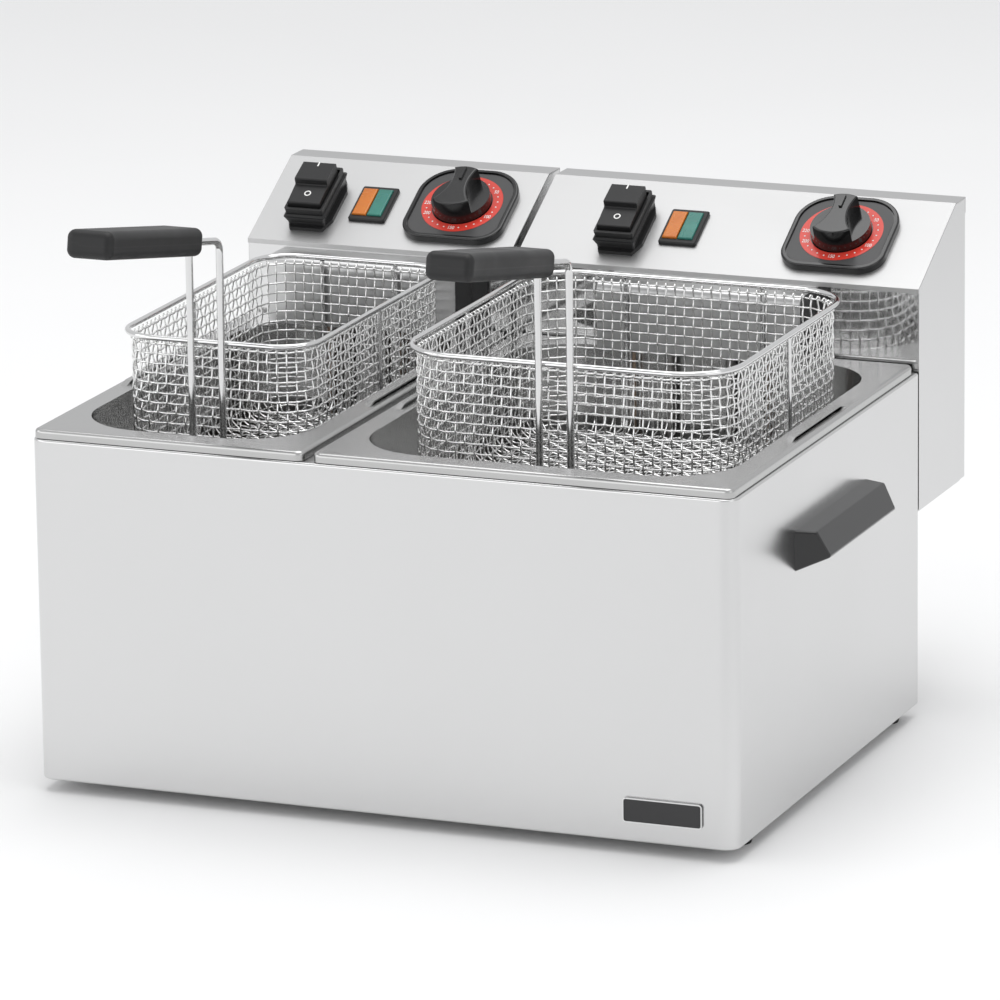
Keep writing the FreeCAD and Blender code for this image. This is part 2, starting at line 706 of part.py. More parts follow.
def make_thermostat(side):
    """Control thermostat behind the panel, with the bore its shaft turns in."""
    body = box(-18, 18, -18, 18, -31, -4.2)
    plate = box(-22, 22, -14, 14, -4.2, -3.2)
    terminals = box(-12, -9, -5, 5, -38, -31).fuse(box(9, 12, -5, 5, -38, -31))
    unit = body.fuse(plate).fuse(terminals)
    unit = unit.cut(Part.makeCylinder(shaft_radius + shaft_fit, 30, V(0, 0, -19)))
    return on_panel(unit, side, side.dial_u, dial_v)


def make_switch_housing(side):
    """Splash-guarded switch body: cut-cornered flange, stepped guard and an open mouth for the rocker."""
    def tapered(half_x, half_y, z0, z1, grow):
        lower = outline(-half_x, half_x, -half_y, half_y, 1.6, 1.6, z0)
        upper = outline(-half_x - grow, half_x + grow, -half_y - grow, half_y + grow, 1.6, 1.6, z1)
        return Part.makeLoft([lower, upper], True, True)

    x = flange_half
    y = flange_half_length
    side_cut, end_cut = 4.0, 10.0
    corner = [(x - side_cut, y), (x, y - end_cut)]
    right = corner + [(a, -b) for a, b in reversed(corner)]
    flange = prism_along_z(right + [(-a, b) for a, b in reversed(right)], 0, 2.6)
    guard = tapered(12.4, 21.8, 2.6, 5.5, 0.2)
    guard = guard.fuse(tapered(12.6, 22.0, 5.5, 10.0, 1.4)).fuse(tapered(14.0, 22.6, 10.0, 11.4, -0.9))
    guard = guard.fuse(tapered(12.8, 21.2, 11.4, housing_height, 0.2))
    stem = box(-9.8, 9.8, -15.8, 15.8, -24, 0.5)
    housing = flange.fuse(guard).fuse(stem)
    mouth = slab(-mouth_half, mouth_half, -mouth_half_length, mouth_half_length, 1, 1,
                 4.5, housing_height + 1)
    return on_panel(housing.cut(mouth), side, side.switch_u, switch_v)


def make_rocker(side):
    """Rocker with its lower half pressed in; it tips about a pin across the housing."""
    half = mouth_half - rocker_side_gap
    end = mouth_half_length - 1.2
    face = [(-end, 9.0), (-end + 0.4, 18.4), (-1.6, 19.6), (-1.0, 23.8), (end - 1.4, 23.2),
            (end - 3.2, 13.0), (3.0, 9.5), (-3.0, 8.5)]
    body = prism_along_x(face, -half, half)
    slope_edges = [e for e in body.Edges if e.BoundBox.XLength > 1 and e.BoundBox.ZMin > 18]
    body = body.makeFillet(0.9, slope_edges)
    pin = cylinder((-half - 0.4, 0, rocker_pivot), (1, 0, 0), 1.5, 2 * half + 0.8)
    return on_panel(body.fuse(pin), side, side.switch_u, switch_v)


def make_lamp_frame(side):
    x = lamp_width / 2
    y = lamp_length / 2
    frame = slab(-x, x, -y, y, 1.6, 1.6, 0, lamp_height)
    frame = frame.makeChamfer(0.7, edges_at(frame, lamp_height))
    frame = frame.fuse(box(-10.8, 10.8, -13.8, 13.8, -18, 0.2))
    for x0 in lens_places():
        frame = frame.cut(box(x0, x0 + lens_width, -lens_length / 2, lens_length / 2, -6, lamp_height + 1))
    return on_panel(frame, side, side.lamp_u, lamp_v)


def lens_places():
    return (lens_left, lens_left + lens_width + 0.6)


def make_lens(side, k):
    x0 = lens_places()[k] + 0.05
    y = lens_length / 2 - 0.05
    lens = box(x0, x0 + lens_width - 0.1, -y, y, -5.5, lamp_height + 1.4)
    lens = lens.makeFillet(0.9, edges_at(lens, lamp_height + 1.4))
    return on_panel(lens, side, side.lamp_u, lamp_v)


# ---------------------------------------------------------------- baskets
def basket_limits(side, inset):
    """The rim wire's middle line, moved in by inset: x0, x1, y0, y1 and corner radius."""
    half = side.basket_width / 2 - inset
    return (side.basket_mid - half, side.basket_mid + half, side.basket_front + inset,
            side.basket_back - inset, side.basket_corner - inset)


def make_basket_mesh(side):
    """Outer shape of the woven wall and floor, as a closed shell that is open at the top."""
    low = side.basket_rim - basket_height

    def tub(inset, z0):
        x0, x1, y0, y1, r = basket_limits(side, rim_wire + mesh_fit + inset)
        body = slab(x0, x1, y0, y1, r, r, z0, side.basket_rim + (1 if inset else 0))
        return body.makeFillet(mesh_edge - inset, edges_at(body, z0))

    return tub(0, low).cut(tub(mesh_thick, low + mesh_thick))


def make_basket_frame(side):
    """The bent wires that are spot-welded into one frame: rim, ribs under the mesh, handle wires."""
    x0, x1, y0, y1, r = basket_limits(side, 0)
    wires = [wire_loop(x0, x1, y0, y1, r, side.basket_rim, rim_wire)]
    inset = rim_wire + mesh_fit - rib_wire - weld_gap
    top = side.basket_rim - rim_wire - weld_gap
    low = side.basket_rim - basket_height - rib_wire - weld_gap
    bend = mesh_edge + rib_wire
    for x in (side.basket_mid - side.rib_x, side.basket_mid + side.rib_x):
        rib = [(x, y1 - inset, top), (x, y1 - inset, low), (x, y0 + rib_front_stop, low)]
        wires.append(bent_wire(rib, bend, rib_wire))
    y = (y0 + y1) / 2
    low = low - 2 * rib_wire - weld_gap
    rib = [(x0 + inset, y, top), (x0 + inset, y, low), (x1 - inset, y, low), (x1 - inset, y, top)]
    wires.append(bent_wire(rib, bend, rib_wire))
    wires += [handle_wire_solid(side, x, handle_wire) for x in handle_places(side)]
    return Part.makeCompound(wires)


def handle_places(side):
    return (side.basket_mid - handle_spread / 2, side.basket_mid + handle_spread / 2)


def handle_wire_solid(side, x, radius):
    tilt = math.radians(handle_tilt)
    bend_z = side.basket_rim + handle_rise
    run = handle_out + grip_hold
    y = side.handle_y
    return bent_wire([(x, y, side.basket_rim - basket_height + 2), (x, y, bend_z),
                      (x, y - run * math.cos(tilt), bend_z + run * math.sin(tilt))], handle_bend, radius)


def make_grip(side, upper):
    """One half of the grip; the two halves meet at a stepped joint."""
    w = grip_width / 2
    h = grip_height / 2
    body = box(-w, w, -grip_length, 0, -h, h)
    body = body.makeFillet(grip_round, body.Edges)
    step = grip_step / 2
    upper_space = prism_along_z([(-40, -200), (40, -200), (40, 10), (-40, 10)], -step, 40)
    upper_space = upper_space.cut(box(-41, -w + 9, -201, 11, -2, step))
    body = body.common(upper_space) if upper else body.cut(upper_space)
    tilt = math.radians(handle_tilt)
    place = V(side.basket_mid, side.handle_y - handle_out * math.cos(tilt),
              side.basket_rim + handle_rise + handle_out * math.sin(tilt))
    body.Placement = FreeCAD.Placement(place, FreeCAD.Rotation(V(1, 0, 0), -handle_tilt))
    for x in handle_places(side):
        body = body.cut(handle_wire_solid(side, x, handle_wire + wire_fit))
    return body


# ---------------------------------------------------------------- write every node
save("casing", make_casing())
save("base_plate", make_base_plate())
save("back_panel", make_back_panel())
save("divider_rail", make_divider_rail())
save("feet", make_feet())
save("carry_handle_right", make_carry_handle(1))
save("carry_handle_left", make_carry_handle(-1))
save("badge", make_badge())

PIECES = {
    "pan": make_pan,
    "head_cover": make_head_cover,
    "head_shell": make_head_shell,
    "head_front": make_head_front,
    "head_bottom": make_head_bottom,
    "element_box": make_element_box,
    "box_caps": make_box_caps,
    "heating_element": make_heating_element,
    "sensor_bulbs": make_sensor_bulbs,
    "thermostat": make_thermostat,
    "safety_cutout": make_safety_cutout,
    "reset_button": make_reset_button,
    "cable_gland": make_cable_gland,
    "head_screws": make_head_screws,
    "dial_bezel": make_dial_bezel,
    "dial_ring": make_dial_ring,
    "knob": make_knob,
    "switch_housing": make_switch_housing,
    "rocker": make_rocker,
    "lamp_frame": make_lamp_frame,
    "lamp_amber": lambda side: make_lens(side, 0),
    "lamp_green": lambda side: make_lens(side, 1),
    "basket_mesh": make_basket_mesh,
    "basket_frame": make_basket_frame,
    "grip_upper": lambda side: make_grip(side, True),
    "grip_lower": lambda side: make_grip(side, False),
}
for side in SIDES:
    for piece, make in PIECES.items():
        save(piece + "_" + side.tag, make(side))
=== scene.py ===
import json
import math
import bmesh
import bpy
from mathutils import Matrix, Vector
from mathutils.bvhtree import BVHTree


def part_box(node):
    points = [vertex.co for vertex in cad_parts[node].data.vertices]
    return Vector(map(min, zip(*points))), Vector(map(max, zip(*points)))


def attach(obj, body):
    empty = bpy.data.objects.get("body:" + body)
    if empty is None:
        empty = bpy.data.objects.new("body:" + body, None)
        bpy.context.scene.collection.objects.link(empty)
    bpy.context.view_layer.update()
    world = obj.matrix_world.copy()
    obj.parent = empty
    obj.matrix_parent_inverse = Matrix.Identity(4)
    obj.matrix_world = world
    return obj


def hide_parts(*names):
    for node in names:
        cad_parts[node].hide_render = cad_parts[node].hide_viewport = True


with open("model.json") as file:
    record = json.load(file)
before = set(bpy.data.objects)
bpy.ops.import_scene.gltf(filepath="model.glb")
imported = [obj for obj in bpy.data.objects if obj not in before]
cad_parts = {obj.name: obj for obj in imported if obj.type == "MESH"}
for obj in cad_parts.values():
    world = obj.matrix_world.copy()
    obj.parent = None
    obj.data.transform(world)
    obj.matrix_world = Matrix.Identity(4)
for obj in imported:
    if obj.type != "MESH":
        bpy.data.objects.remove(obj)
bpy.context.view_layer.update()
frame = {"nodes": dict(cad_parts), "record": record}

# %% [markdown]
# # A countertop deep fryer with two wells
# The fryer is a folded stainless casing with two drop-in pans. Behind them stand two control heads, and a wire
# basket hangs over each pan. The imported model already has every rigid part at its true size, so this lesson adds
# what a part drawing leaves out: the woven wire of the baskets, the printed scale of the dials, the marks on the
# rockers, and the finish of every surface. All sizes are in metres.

MM = 0.001
SIDES = ("left", "right")
NODES = frame["nodes"]
JOINTS = {j["name"]: j for j in frame["record"]["behaviour"]["joints"]}

# %% [markdown]
# ## The camera
# The object is seen from its front right, from a little above, through a long lens, so that upright edges stay
# nearly parallel. The camera could be aimed with a constraint, but a matrix made from three angles is exact: yaw
# turns it about the upright axis, pitch tips it down, and roll levels the horizon.

# %% Camera
CAMERA_ANGLES = [math.radians(a) for a in (22.04, 14.70, -0.76)]     # yaw, pitch and roll
CAMERA_SPOT = Vector((1.6888, -4.1405, 1.3344))
LENS_PER_WIDTH = 7.568


def aim(yaw, pitch, roll, spot):
    forward = Vector((-math.sin(yaw) * math.cos(pitch), math.cos(yaw) * math.cos(pitch), -math.sin(pitch)))
    level = Vector((math.cos(yaw), math.sin(yaw), 0))
    upright = level.cross(forward)
    right = level * math.cos(roll) + upright * math.sin(roll)
    up = upright * math.cos(roll) - level * math.sin(roll)
    return Matrix.Translation(spot) @ Matrix((right, up, -forward)).transposed().to_4x4()


lens = bpy.data.cameras.new("camera")
lens.sensor_width = 36.0
lens.lens = LENS_PER_WIDTH * lens.sensor_width
camera = bpy.data.objects.new("camera", lens)
camera.matrix_world = aim(*CAMERA_ANGLES, CAMERA_SPOT)
bpy.context.scene.collection.objects.link(camera)
bpy.context.scene.camera = camera
print("lens", round(lens.lens, 1), "mm")

# %% [markdown]
# ## Small helpers for node trees
# Both shader groups and Geometry Nodes are made in code here. Two helpers keep that short. `add` makes a node,
# sets its properties and fills its inputs with a number or with a link from another node. `tree_socket` names an
# input or an output of a group.


# %% Node helpers
def add(tree, kind, inputs=None, **properties):
    """A new node; inputs maps a socket's name or number to a value or to another node's output."""
    node = tree.nodes.new(kind)
    for name, value in properties.items():
        setattr(node, name, value)
    for key, value in (inputs or {}).items():
        if isinstance(value, bpy.types.NodeSocket):
            tree.links.new(value, node.inputs[key])
        else:
            node.inputs[key].default_value = value
    return node


def tree_socket(tree, name, direction, kind, default=None):
    socket = tree.interface.new_socket(name=name, in_out=direction, socket_type=kind)
    if default is not None:
        socket.default_value = default
    return socket


def number(tree, operation, *values):
    """A Math node's result."""
    return add(tree, "ShaderNodeMath", dict(enumerate(values)), operation=operation).outputs[0]


def vector(tree, operation, *values, out="Vector"):
    """A Vector Math node's result."""
    return add(tree, "ShaderNodeVectorMath", dict(enumerate(values)), operation=operation).outputs[out]


# %% [markdown]
# ## Shared surface effects
# A finish is never one flat value. Rolled sheet has a long fine grain from the brushing belt, and handling leaves
# broad, faint patches where it is a little duller. Moulded plastic has an even, pebbled grain from the tool.
# Each effect is a shader group that puts out only a mask or a height, so that every material can place it with
# its own scale and strength.


# %% Shader groups for grain, patches and moulded texture
def shader_group(name, inputs, outputs):
    tree = bpy.data.node_groups.new(name, "ShaderNodeTree")
    for label, kind, default in inputs:
        tree_socket(tree, label, "INPUT", kind, default)
    for label in outputs:
        tree_socket(tree, label, "OUTPUT", "NodeSocketFloat")
    return tree, tree.nodes.new("NodeGroupInput").outputs, tree.nodes.new("NodeGroupOutput").inputs


def make_belt_grain():
    """Long streaks: noise that is stretched by a different scale along each axis."""
    tree, given, result = shader_group(
        "belt_grain", [("Vector", "NodeSocketVector", None), ("Stretch", "NodeSocketVector", (6, 6, 900))],
        ["Grain"])
    drawn = vector(tree, "MULTIPLY", given["Vector"], given["Stretch"])
    fine = add(tree, "ShaderNodeTexNoise", {"Vector": drawn, "Scale": 1.0, "Detail": 4.0, "Roughness": 0.65})
    wide = add(tree, "ShaderNodeTexNoise", {"Vector": drawn, "Scale": 0.23, "Detail": 2.0})
    both = number(tree, "MULTIPLY_ADD", wide.outputs[0], 0.4, number(tree, "MULTIPLY", fine.outputs[0], 0.6))
    tree.links.new(both, result["Grain"])
    return tree


def make_handling_patches():
    """Broad soft patches, with a few smaller ones inside them."""
    tree, given, result = shader_group(
        "handling_patches", [("Vector", "NodeSocketVector", None), ("Scale", "NodeSocketFloat", 9.0)], ["Mask"])
    cloud = add(tree, "ShaderNodeTexNoise", {"Vector": given["Vector"], "Scale": given["Scale"], "Detail": 3.0,
                                             "Roughness": 0.5, "Distortion": 0.4})
    spread = add(tree, "ShaderNodeMapRange", {"Value": cloud.outputs[0], "From Min": 0.32, "From Max": 0.68})
    tree.links.new(spread.outputs[0], result["Mask"])
    return tree


def make_moulded_pebble():
    """The even, rounded pebble of a spark-eroded moulding tool."""
    tree, given, result = shader_group(
        "moulded_pebble", [("Vector", "NodeSocketVector", None), ("Scale", "NodeSocketFloat", 1500.0)],
        ["Height"])
    cells = add(tree, "ShaderNodeTexVoronoi", {"Vector": given["Vector"], "Scale": given["Scale"]},
                feature="SMOOTH_F1")
    noise = add(tree, "ShaderNodeTexNoise", {"Vector": given["Vector"], "Scale": given["Scale"], "Detail": 2.0})
    mixed = number(tree, "MULTIPLY_ADD", cells.outputs["Distance"], 0.6, noise.outputs[0])
    tree.links.new(mixed, result["Height"])
    return tree


def make_edge_highlight_wear_group():
    """A mask of convex edges, broken by noise: it paints a highlight along them, and marks where handling polishes a
    surface first.
    """
    tree, given, result = shader_group(
        "painted_edge_highlight_and_rub", [("Vector", "NodeSocketVector", None), ("Radius", "NodeSocketFloat", 0.0012)], ["Mask"])
    soft = add(tree, "ShaderNodeBevel", {"Radius": given["Radius"]}, samples=4)
    sharp = add(tree, "ShaderNodeNewGeometry")
    same = vector(tree, "DOT_PRODUCT", soft.outputs[0], sharp.outputs["Normal"], out="Value")
    edge = add(tree, "ShaderNodeMapRange", {"Value": same, "From Min": 0.995, "From Max": 0.9})
    broken = add(tree, "ShaderNodeTexNoise", {"Vector": given["Vector"], "Scale": 160.0, "Detail": 3.0})
    tree.links.new(number(tree, "MULTIPLY", edge.outputs[0], broken.outputs[0]), result["Mask"])
    return tree


BELT_GRAIN = make_belt_grain()
HANDLING_PATCHES = make_handling_patches()
MOULDED_PEBBLE = make_moulded_pebble()
# The edge mask paints a highlight along the convex edges of the plastics, and marks where handling makes them
# smoother.
EDGE_HIGHLIGHT_AND_RUB = make_edge_highlight_wear_group()
print("shader groups", [g.name for g in bpy.data.node_groups])


# %% [markdown]
# ## Two families of material
# Nearly everything here is bare metal or moulded black plastic, so two functions make all of it. `metal` mixes two
# close tones by the handling patches, drives roughness from grain and patches together, and feeds the grain to a
# Bump node. `plastic` is the same idea with a pebbled height and convex edges that handling makes smoother and that
# carry a painted highlight in their colour. Constant values are set on the shader's own sockets.


# %% Material builders
def new_material(name):
    material = bpy.data.materials.new(name)
    material.use_nodes = True
    tree = material.node_tree
    place = add(tree, "ShaderNodeTexCoord").outputs["Object"]
    return material, tree, tree.nodes["Principled BSDF"], place


def use_group(tree, group, **inputs):
    node = tree.nodes.new("ShaderNodeGroup")
    node.node_tree = group
    for name, value in inputs.items():
        if isinstance(value, bpy.types.NodeSocket):
            tree.links.new(value, node.inputs[name])
        else:
            node.inputs[name].default_value = value
    return node.outputs[0]


def blend_tones_into(tree, shader, mask, tone_a, tone_b):
    """Sets the base colour from two tones, mixed by a mask."""
    mix = tree.nodes.new("ShaderNodeMix")
    mix.data_type = "RGBA"
    tree.links.new(mask, mix.inputs[0])
    mix.inputs[6].default_value = (*tone_a, 1)
    mix.inputs[7].default_value = (*tone_b, 1)
    tree.links.new(mix.outputs[2], shader.inputs["Base Color"])


def metal(name, tone, roughness, spread=0.05, stretch=(6, 6, 900), bump=0.08, patch_scale=7.0, tint=0.04):
    """Bare metal: grain and patches change its tone a little and its roughness by the spread."""
    material, tree, shader, place = new_material(name)
    grain = use_group(tree, BELT_GRAIN, Vector=place, Stretch=stretch)
    patches = use_group(tree, HANDLING_PATCHES, Vector=place, Scale=patch_scale)
    blend_tones_into(tree, shader, patches, tone, [c * (1 - tint) for c in tone])
    both = number(tree, "MULTIPLY_ADD", patches, 0.5, number(tree, "MULTIPLY", grain, 0.5))
    rough = add(tree, "ShaderNodeMapRange", {"Value": both, "From Min": 0.2, "From Max": 0.8,
                                             "To Min": max(roughness - spread, 0.02), "To Max": roughness + spread})
    tree.links.new(rough.outputs[0], shader.inputs["Roughness"])
    relief = add(tree, "ShaderNodeBump", {"Strength": bump, "Distance": 0.0003, "Height": grain})
    tree.links.new(relief.outputs[0], shader.inputs["Normal"])
    shader.inputs["Metallic"].default_value = 1.0
    return material


def plastic(name, tone, roughness, spread=0.06, pebble=1500.0, bump=0.12, highlight_wear_amount=0.35, coat=0.0,
            gloss=0.32):
    """Moulded plastic: pebbled, a little uneven in gloss, smoother where handling polishes its edges, and paler there
    in colour as a painted edge highlight.
    """
    material, tree, shader, place = new_material(name)
    height = use_group(tree, MOULDED_PEBBLE, Vector=place, Scale=pebble)
    patches = use_group(tree, HANDLING_PATCHES, Vector=place, Scale=22.0)
    # Convex edges: this mask paints a highlight into the base colour below, and makes the roughness smoother there.
    edge_highlight_rub_mask = use_group(tree, EDGE_HIGHLIGHT_AND_RUB, Vector=place, Radius=0.0010)
    mask = number(tree, "MULTIPLY_ADD", patches, 0.15, number(tree, "MULTIPLY", edge_highlight_rub_mask, highlight_wear_amount))
    paler_patch_highlight_tone = [min(1.0, c * 1.3 + 0.012) for c in tone]
    blend_tones_into(tree, shader, mask, tone, paler_patch_highlight_tone)
    rough = add(tree, "ShaderNodeMapRange", {"Value": patches, "To Min": roughness - spread,
                                             "To Max": roughness + spread})
    tree.links.new(number(tree, "MULTIPLY_ADD", edge_highlight_rub_mask, -0.12, rough.outputs[0]), shader.inputs["Roughness"])
    relief = add(tree, "ShaderNodeBump", {"Strength": bump, "Distance": 0.0001, "Height": height})
    tree.links.new(relief.outputs[0], shader.inputs["Normal"])
    shader.inputs["Specular IOR Level"].default_value = gloss
    shader.inputs["Coat Weight"].default_value = coat
    shader.inputs["Coat Roughness"].default_value = 0.12
    return material


# %% [markdown]
# ## The finishes
# The casing's sheet is belt-grained along its length. The covers of the heads are grained from side to side. The
# front walls of the heads and the element boxes are mirror-polished, because splashes wipe off a polished wall
# more easily. The pans are satin inside, where drawing and washing leave no direction. The wires are bright.

# %% Steel finishes
casing_steel = metal("casing_steel", (0.66, 0.66, 0.66), 0.23, spread=0.03, stretch=(5, 5, 1100), bump=0.04,
                     patch_scale=4.0, tint=0.02)
cover_steel = metal("cover_steel", (0.51, 0.51, 0.51), 0.46, spread=0.03, stretch=(5, 900, 900), bump=0.04,
                    patch_scale=4.0, tint=0.02)
mirror_steel = metal("mirror_steel", (0.70, 0.70, 0.70), 0.06, spread=0.02, stretch=(5, 900, 900), bump=0.02)
box_steel = metal("box_steel", (0.58, 0.58, 0.58), 0.34, spread=0.04, stretch=(5, 900, 900), bump=0.03)
pan_satin = metal("pan_satin", (0.50, 0.50, 0.496), 0.25, spread=0.03, stretch=(40, 40, 40), bump=0.008, tint=0.03)
bright_wire = metal("bright_wire", (0.74, 0.74, 0.74), 0.12, spread=0.04, stretch=(300, 300, 300), bump=0.02)
weave_wire = metal("weave_wire", (0.88, 0.88, 0.875), 0.18, spread=0.06, stretch=(300, 300, 300), bump=0.03)
heater_sheath = metal("heater_sheath", (0.46, 0.45, 0.44), 0.38, spread=0.08, stretch=(90, 90, 90), tint=0.25)
bulb_metal = metal("bulb_metal", (0.55, 0.42, 0.33), 0.35, spread=0.06, stretch=(90, 90, 90), tint=0.15)
zinc_plate = metal("zinc_plate", (0.60, 0.61, 0.62), 0.32, spread=0.05, stretch=(200, 200, 200), tint=0.1)

# %% Plastic, rubber and print finishes
# Each plastic's edge amount sets how strongly a painted highlight pales the colour of its convex edges.
control_black = plastic("control_black", (0.012, 0.012, 0.0125), 0.42)
smooth_black = plastic("smooth_black", (0.005, 0.005, 0.0053), 0.17, pebble=900.0, bump=0.02, coat=0.25,
                       gloss=0.45)
grip_black = plastic("grip_black", (0.016, 0.016, 0.0165), 0.47, pebble=1300.0, bump=0.18)
foot_rubber = plastic("foot_rubber", (0.014, 0.014, 0.014), 0.75, pebble=700.0, bump=0.25, highlight_wear_amount=0.2)
body_grey = plastic("body_grey", (0.30, 0.30, 0.29), 0.50, highlight_wear_amount=0.3)
scale_red = plastic("scale_red", (0.60, 0.045, 0.030), 0.30, pebble=2200.0, bump=0.03, highlight_wear_amount=0.0, coat=0.2)
print_white = plastic("print_white", (0.80, 0.80, 0.78), 0.45, pebble=2200.0, bump=0.02, highlight_wear_amount=0.0)
dial_plate_grey = plastic("dial_plate_grey", (0.055, 0.055, 0.056), 0.33, pebble=1800.0, bump=0.05, highlight_wear_amount=0.0)
badge_lacquer = plastic("badge_lacquer", (0.012, 0.012, 0.013), 0.16, pebble=900.0, bump=0.01, highlight_wear_amount=0.0, coat=0.6)


# %% [markdown]
# The two lamp lenses are tinted polycarbonate over a small neon lamp. Real light passing through them would cost
# many samples for little, so the tint sits in the base colour. A faint ribbing, which spreads the lamp's light on
# the real lens, runs across it as a bump.


# %% Lens finish
def lens_plastic(name, tone, deep):
    material, tree, shader, place = new_material(name)
    ribs = add(tree, "ShaderNodeTexWave", {"Vector": place, "Scale": 260.0, "Distortion": 0.3},
               bands_direction="Y")
    patches = use_group(tree, HANDLING_PATCHES, Vector=place, Scale=60.0)
    blend_tones_into(tree, shader, patches, tone, deep)
    relief = add(tree, "ShaderNodeBump", {"Strength": 0.10, "Distance": 0.0002, "Height": ribs.outputs[1]})
    tree.links.new(relief.outputs[0], shader.inputs["Normal"])
    tree.links.new(number(tree, "MULTIPLY_ADD", patches, 0.08, 0.22), shader.inputs["Roughness"])
    shader.inputs["Subsurface Weight"].default_value = 0.25
    shader.inputs["Subsurface Radius"].default_value = (0.004, 0.002, 0.001)
    return material


amber_lens = lens_plastic("amber_lens", (0.60, 0.18, 0.012), (0.52, 0.14, 0.008))
green_lens = lens_plastic("green_lens", (0.03, 0.20, 0.16), (0.022, 0.16, 0.13))

# %% [markdown]
# ## Dressing the parts that are already right
# Most nodes of the model have their final shape, so they only need their finish. Each node's slots are all set to
# one material by the name before its side.

# %% Finishes for the model's own nodes
FINISHES = {
    "casing": casing_steel, "base_plate": casing_steel, "back_panel": casing_steel, "divider_rail": casing_steel,
    "feet": foot_rubber, "carry_handle_right": smooth_black, "carry_handle_left": smooth_black,
    "badge": badge_lacquer, "pan": pan_satin, "head_cover": cover_steel, "head_shell": casing_steel,
    "head_front": mirror_steel, "head_bottom": casing_steel, "element_box": box_steel,
    "box_caps": control_black, "heating_element": heater_sheath, "sensor_bulbs": bulb_metal,
    "thermostat": body_grey, "safety_cutout": body_grey, "reset_button": control_black,
    "cable_gland": control_black, "head_screws": zinc_plate, "dial_bezel": smooth_black,
    "dial_ring": scale_red, "knob": smooth_black, "switch_housing": control_black, "rocker": control_black,
    "lamp_frame": control_black, "lamp_amber": amber_lens, "lamp_green": green_lens,
    "basket_frame": bright_wire, "basket_mesh": weave_wire, "grip_upper": grip_black, "grip_lower": grip_black,
}


def finish_of(node_name):
    if node_name in FINISHES:
        return FINISHES[node_name]
    return FINISHES[node_name.rsplit("_", 1)[0]]


for name, node in NODES.items():
    for slot in node.material_slots:
        slot.material = finish_of(name)
print("dressed", len(NODES), "nodes")

# %% [markdown]
# ## Woven wire
# A basket's wall and floor are crimped wires that pass over and under each other. They could be modelled as one
# textured sheet with holes, but a weave shows its depth at every edge, so each wire is a real tube here. The rule
# is simple: a wire runs on a smooth surface and swings to one side and the other of it, a half wave for each wire
# that it crosses. Wires of the other set swing the opposite way at the same crossings. That is a job for Geometry
# Nodes, with one tree for the wall and one for the floor.

# %% Sizes of the weave
WIRE = 1.2 * MM               # diameter of a woven wire
PITCH = 6.0 * MM              # between two wires
CRIMP = 0.55 * MM             # how far a wire swings to each side
STEPS = 3                     # points on each wire between two crossings
WIRE_SIDES = 6
BOTTOM_ROUND = 8.0 * MM       # the wall curls under to the floor
HOOK_RADIUS = 1.25 * MM       # a wire's end, bent round the top level wire
SHEAR_SLACK = 0.3 * MM        # a cut wire may stand this far past the floor's outline


# %% Helpers for geometry trees
def geometry_tree(name, inputs):
    tree = bpy.data.node_groups.new(name, "GeometryNodeTree")
    tree_socket(tree, "Geometry", "OUTPUT", "NodeSocketGeometry")
    for label, kind, default in inputs:
        tree_socket(tree, label, "INPUT", kind, default)
    return tree, tree.nodes.new("NodeGroupInput").outputs


def close_tree(tree, shape, material):
    """The shared ending: whole geometry, smooth shading, one material."""
    whole = add(tree, "GeometryNodeRealizeInstances", {"Geometry": shape})
    smooth = add(tree, "GeometryNodeSetShadeSmooth", {"Geometry": whole.outputs[0], "Shade Smooth": True})
    painted = add(tree, "GeometryNodeSetMaterial", {"Geometry": smooth.outputs[0], "Material": material})
    end = tree.nodes.new("NodeGroupOutput")
    tree.links.new(painted.outputs[0], end.inputs[0])


def run_tree(name, tree, values):
    """A plain mesh object made by a tree from the given input values."""
    carrier = bpy.data.objects.new(name + "_carrier", bpy.data.meshes.new(name + "_carrier"))
    bpy.context.scene.collection.objects.link(carrier)
    modifier = carrier.modifiers.new("nodes", "NODES")
    modifier.node_group = tree
    for item in tree.interface.items_tree:
        if item.item_type == "SOCKET" and item.in_out == "INPUT" and item.name in values:
            modifier[item.identifier] = values[item.name]
    depsgraph = bpy.context.evaluated_depsgraph_get()
    mesh = bpy.data.meshes.new_from_object(carrier.evaluated_get(depsgraph), depsgraph=depsgraph)
    mesh.name = name
    bpy.data.objects.remove(carrier)
    piece = bpy.data.objects.new(name, mesh)
    bpy.context.scene.collection.objects.link(piece)
    return piece


def tube(tree, curve, wire):
    """Gives a curve a round section of the given diameter."""
    ring = add(tree, "GeometryNodeCurvePrimitiveCircle",
               {"Resolution": WIRE_SIDES, "Radius": number(tree, "MULTIPLY", wire, 0.5)})
    return add(tree, "GeometryNodeCurveToMesh", {"Curve": curve, "Profile Curve": ring.outputs[0],
                                                 "Fill Caps": True}).outputs[0]


# %% [markdown]
# The wall's smooth surface is a rounded rectangle that hangs straight down and then curls inwards by a quarter
# turn. `hang` gives the place of a point at a distance down that surface, moved out from it by the crimp.


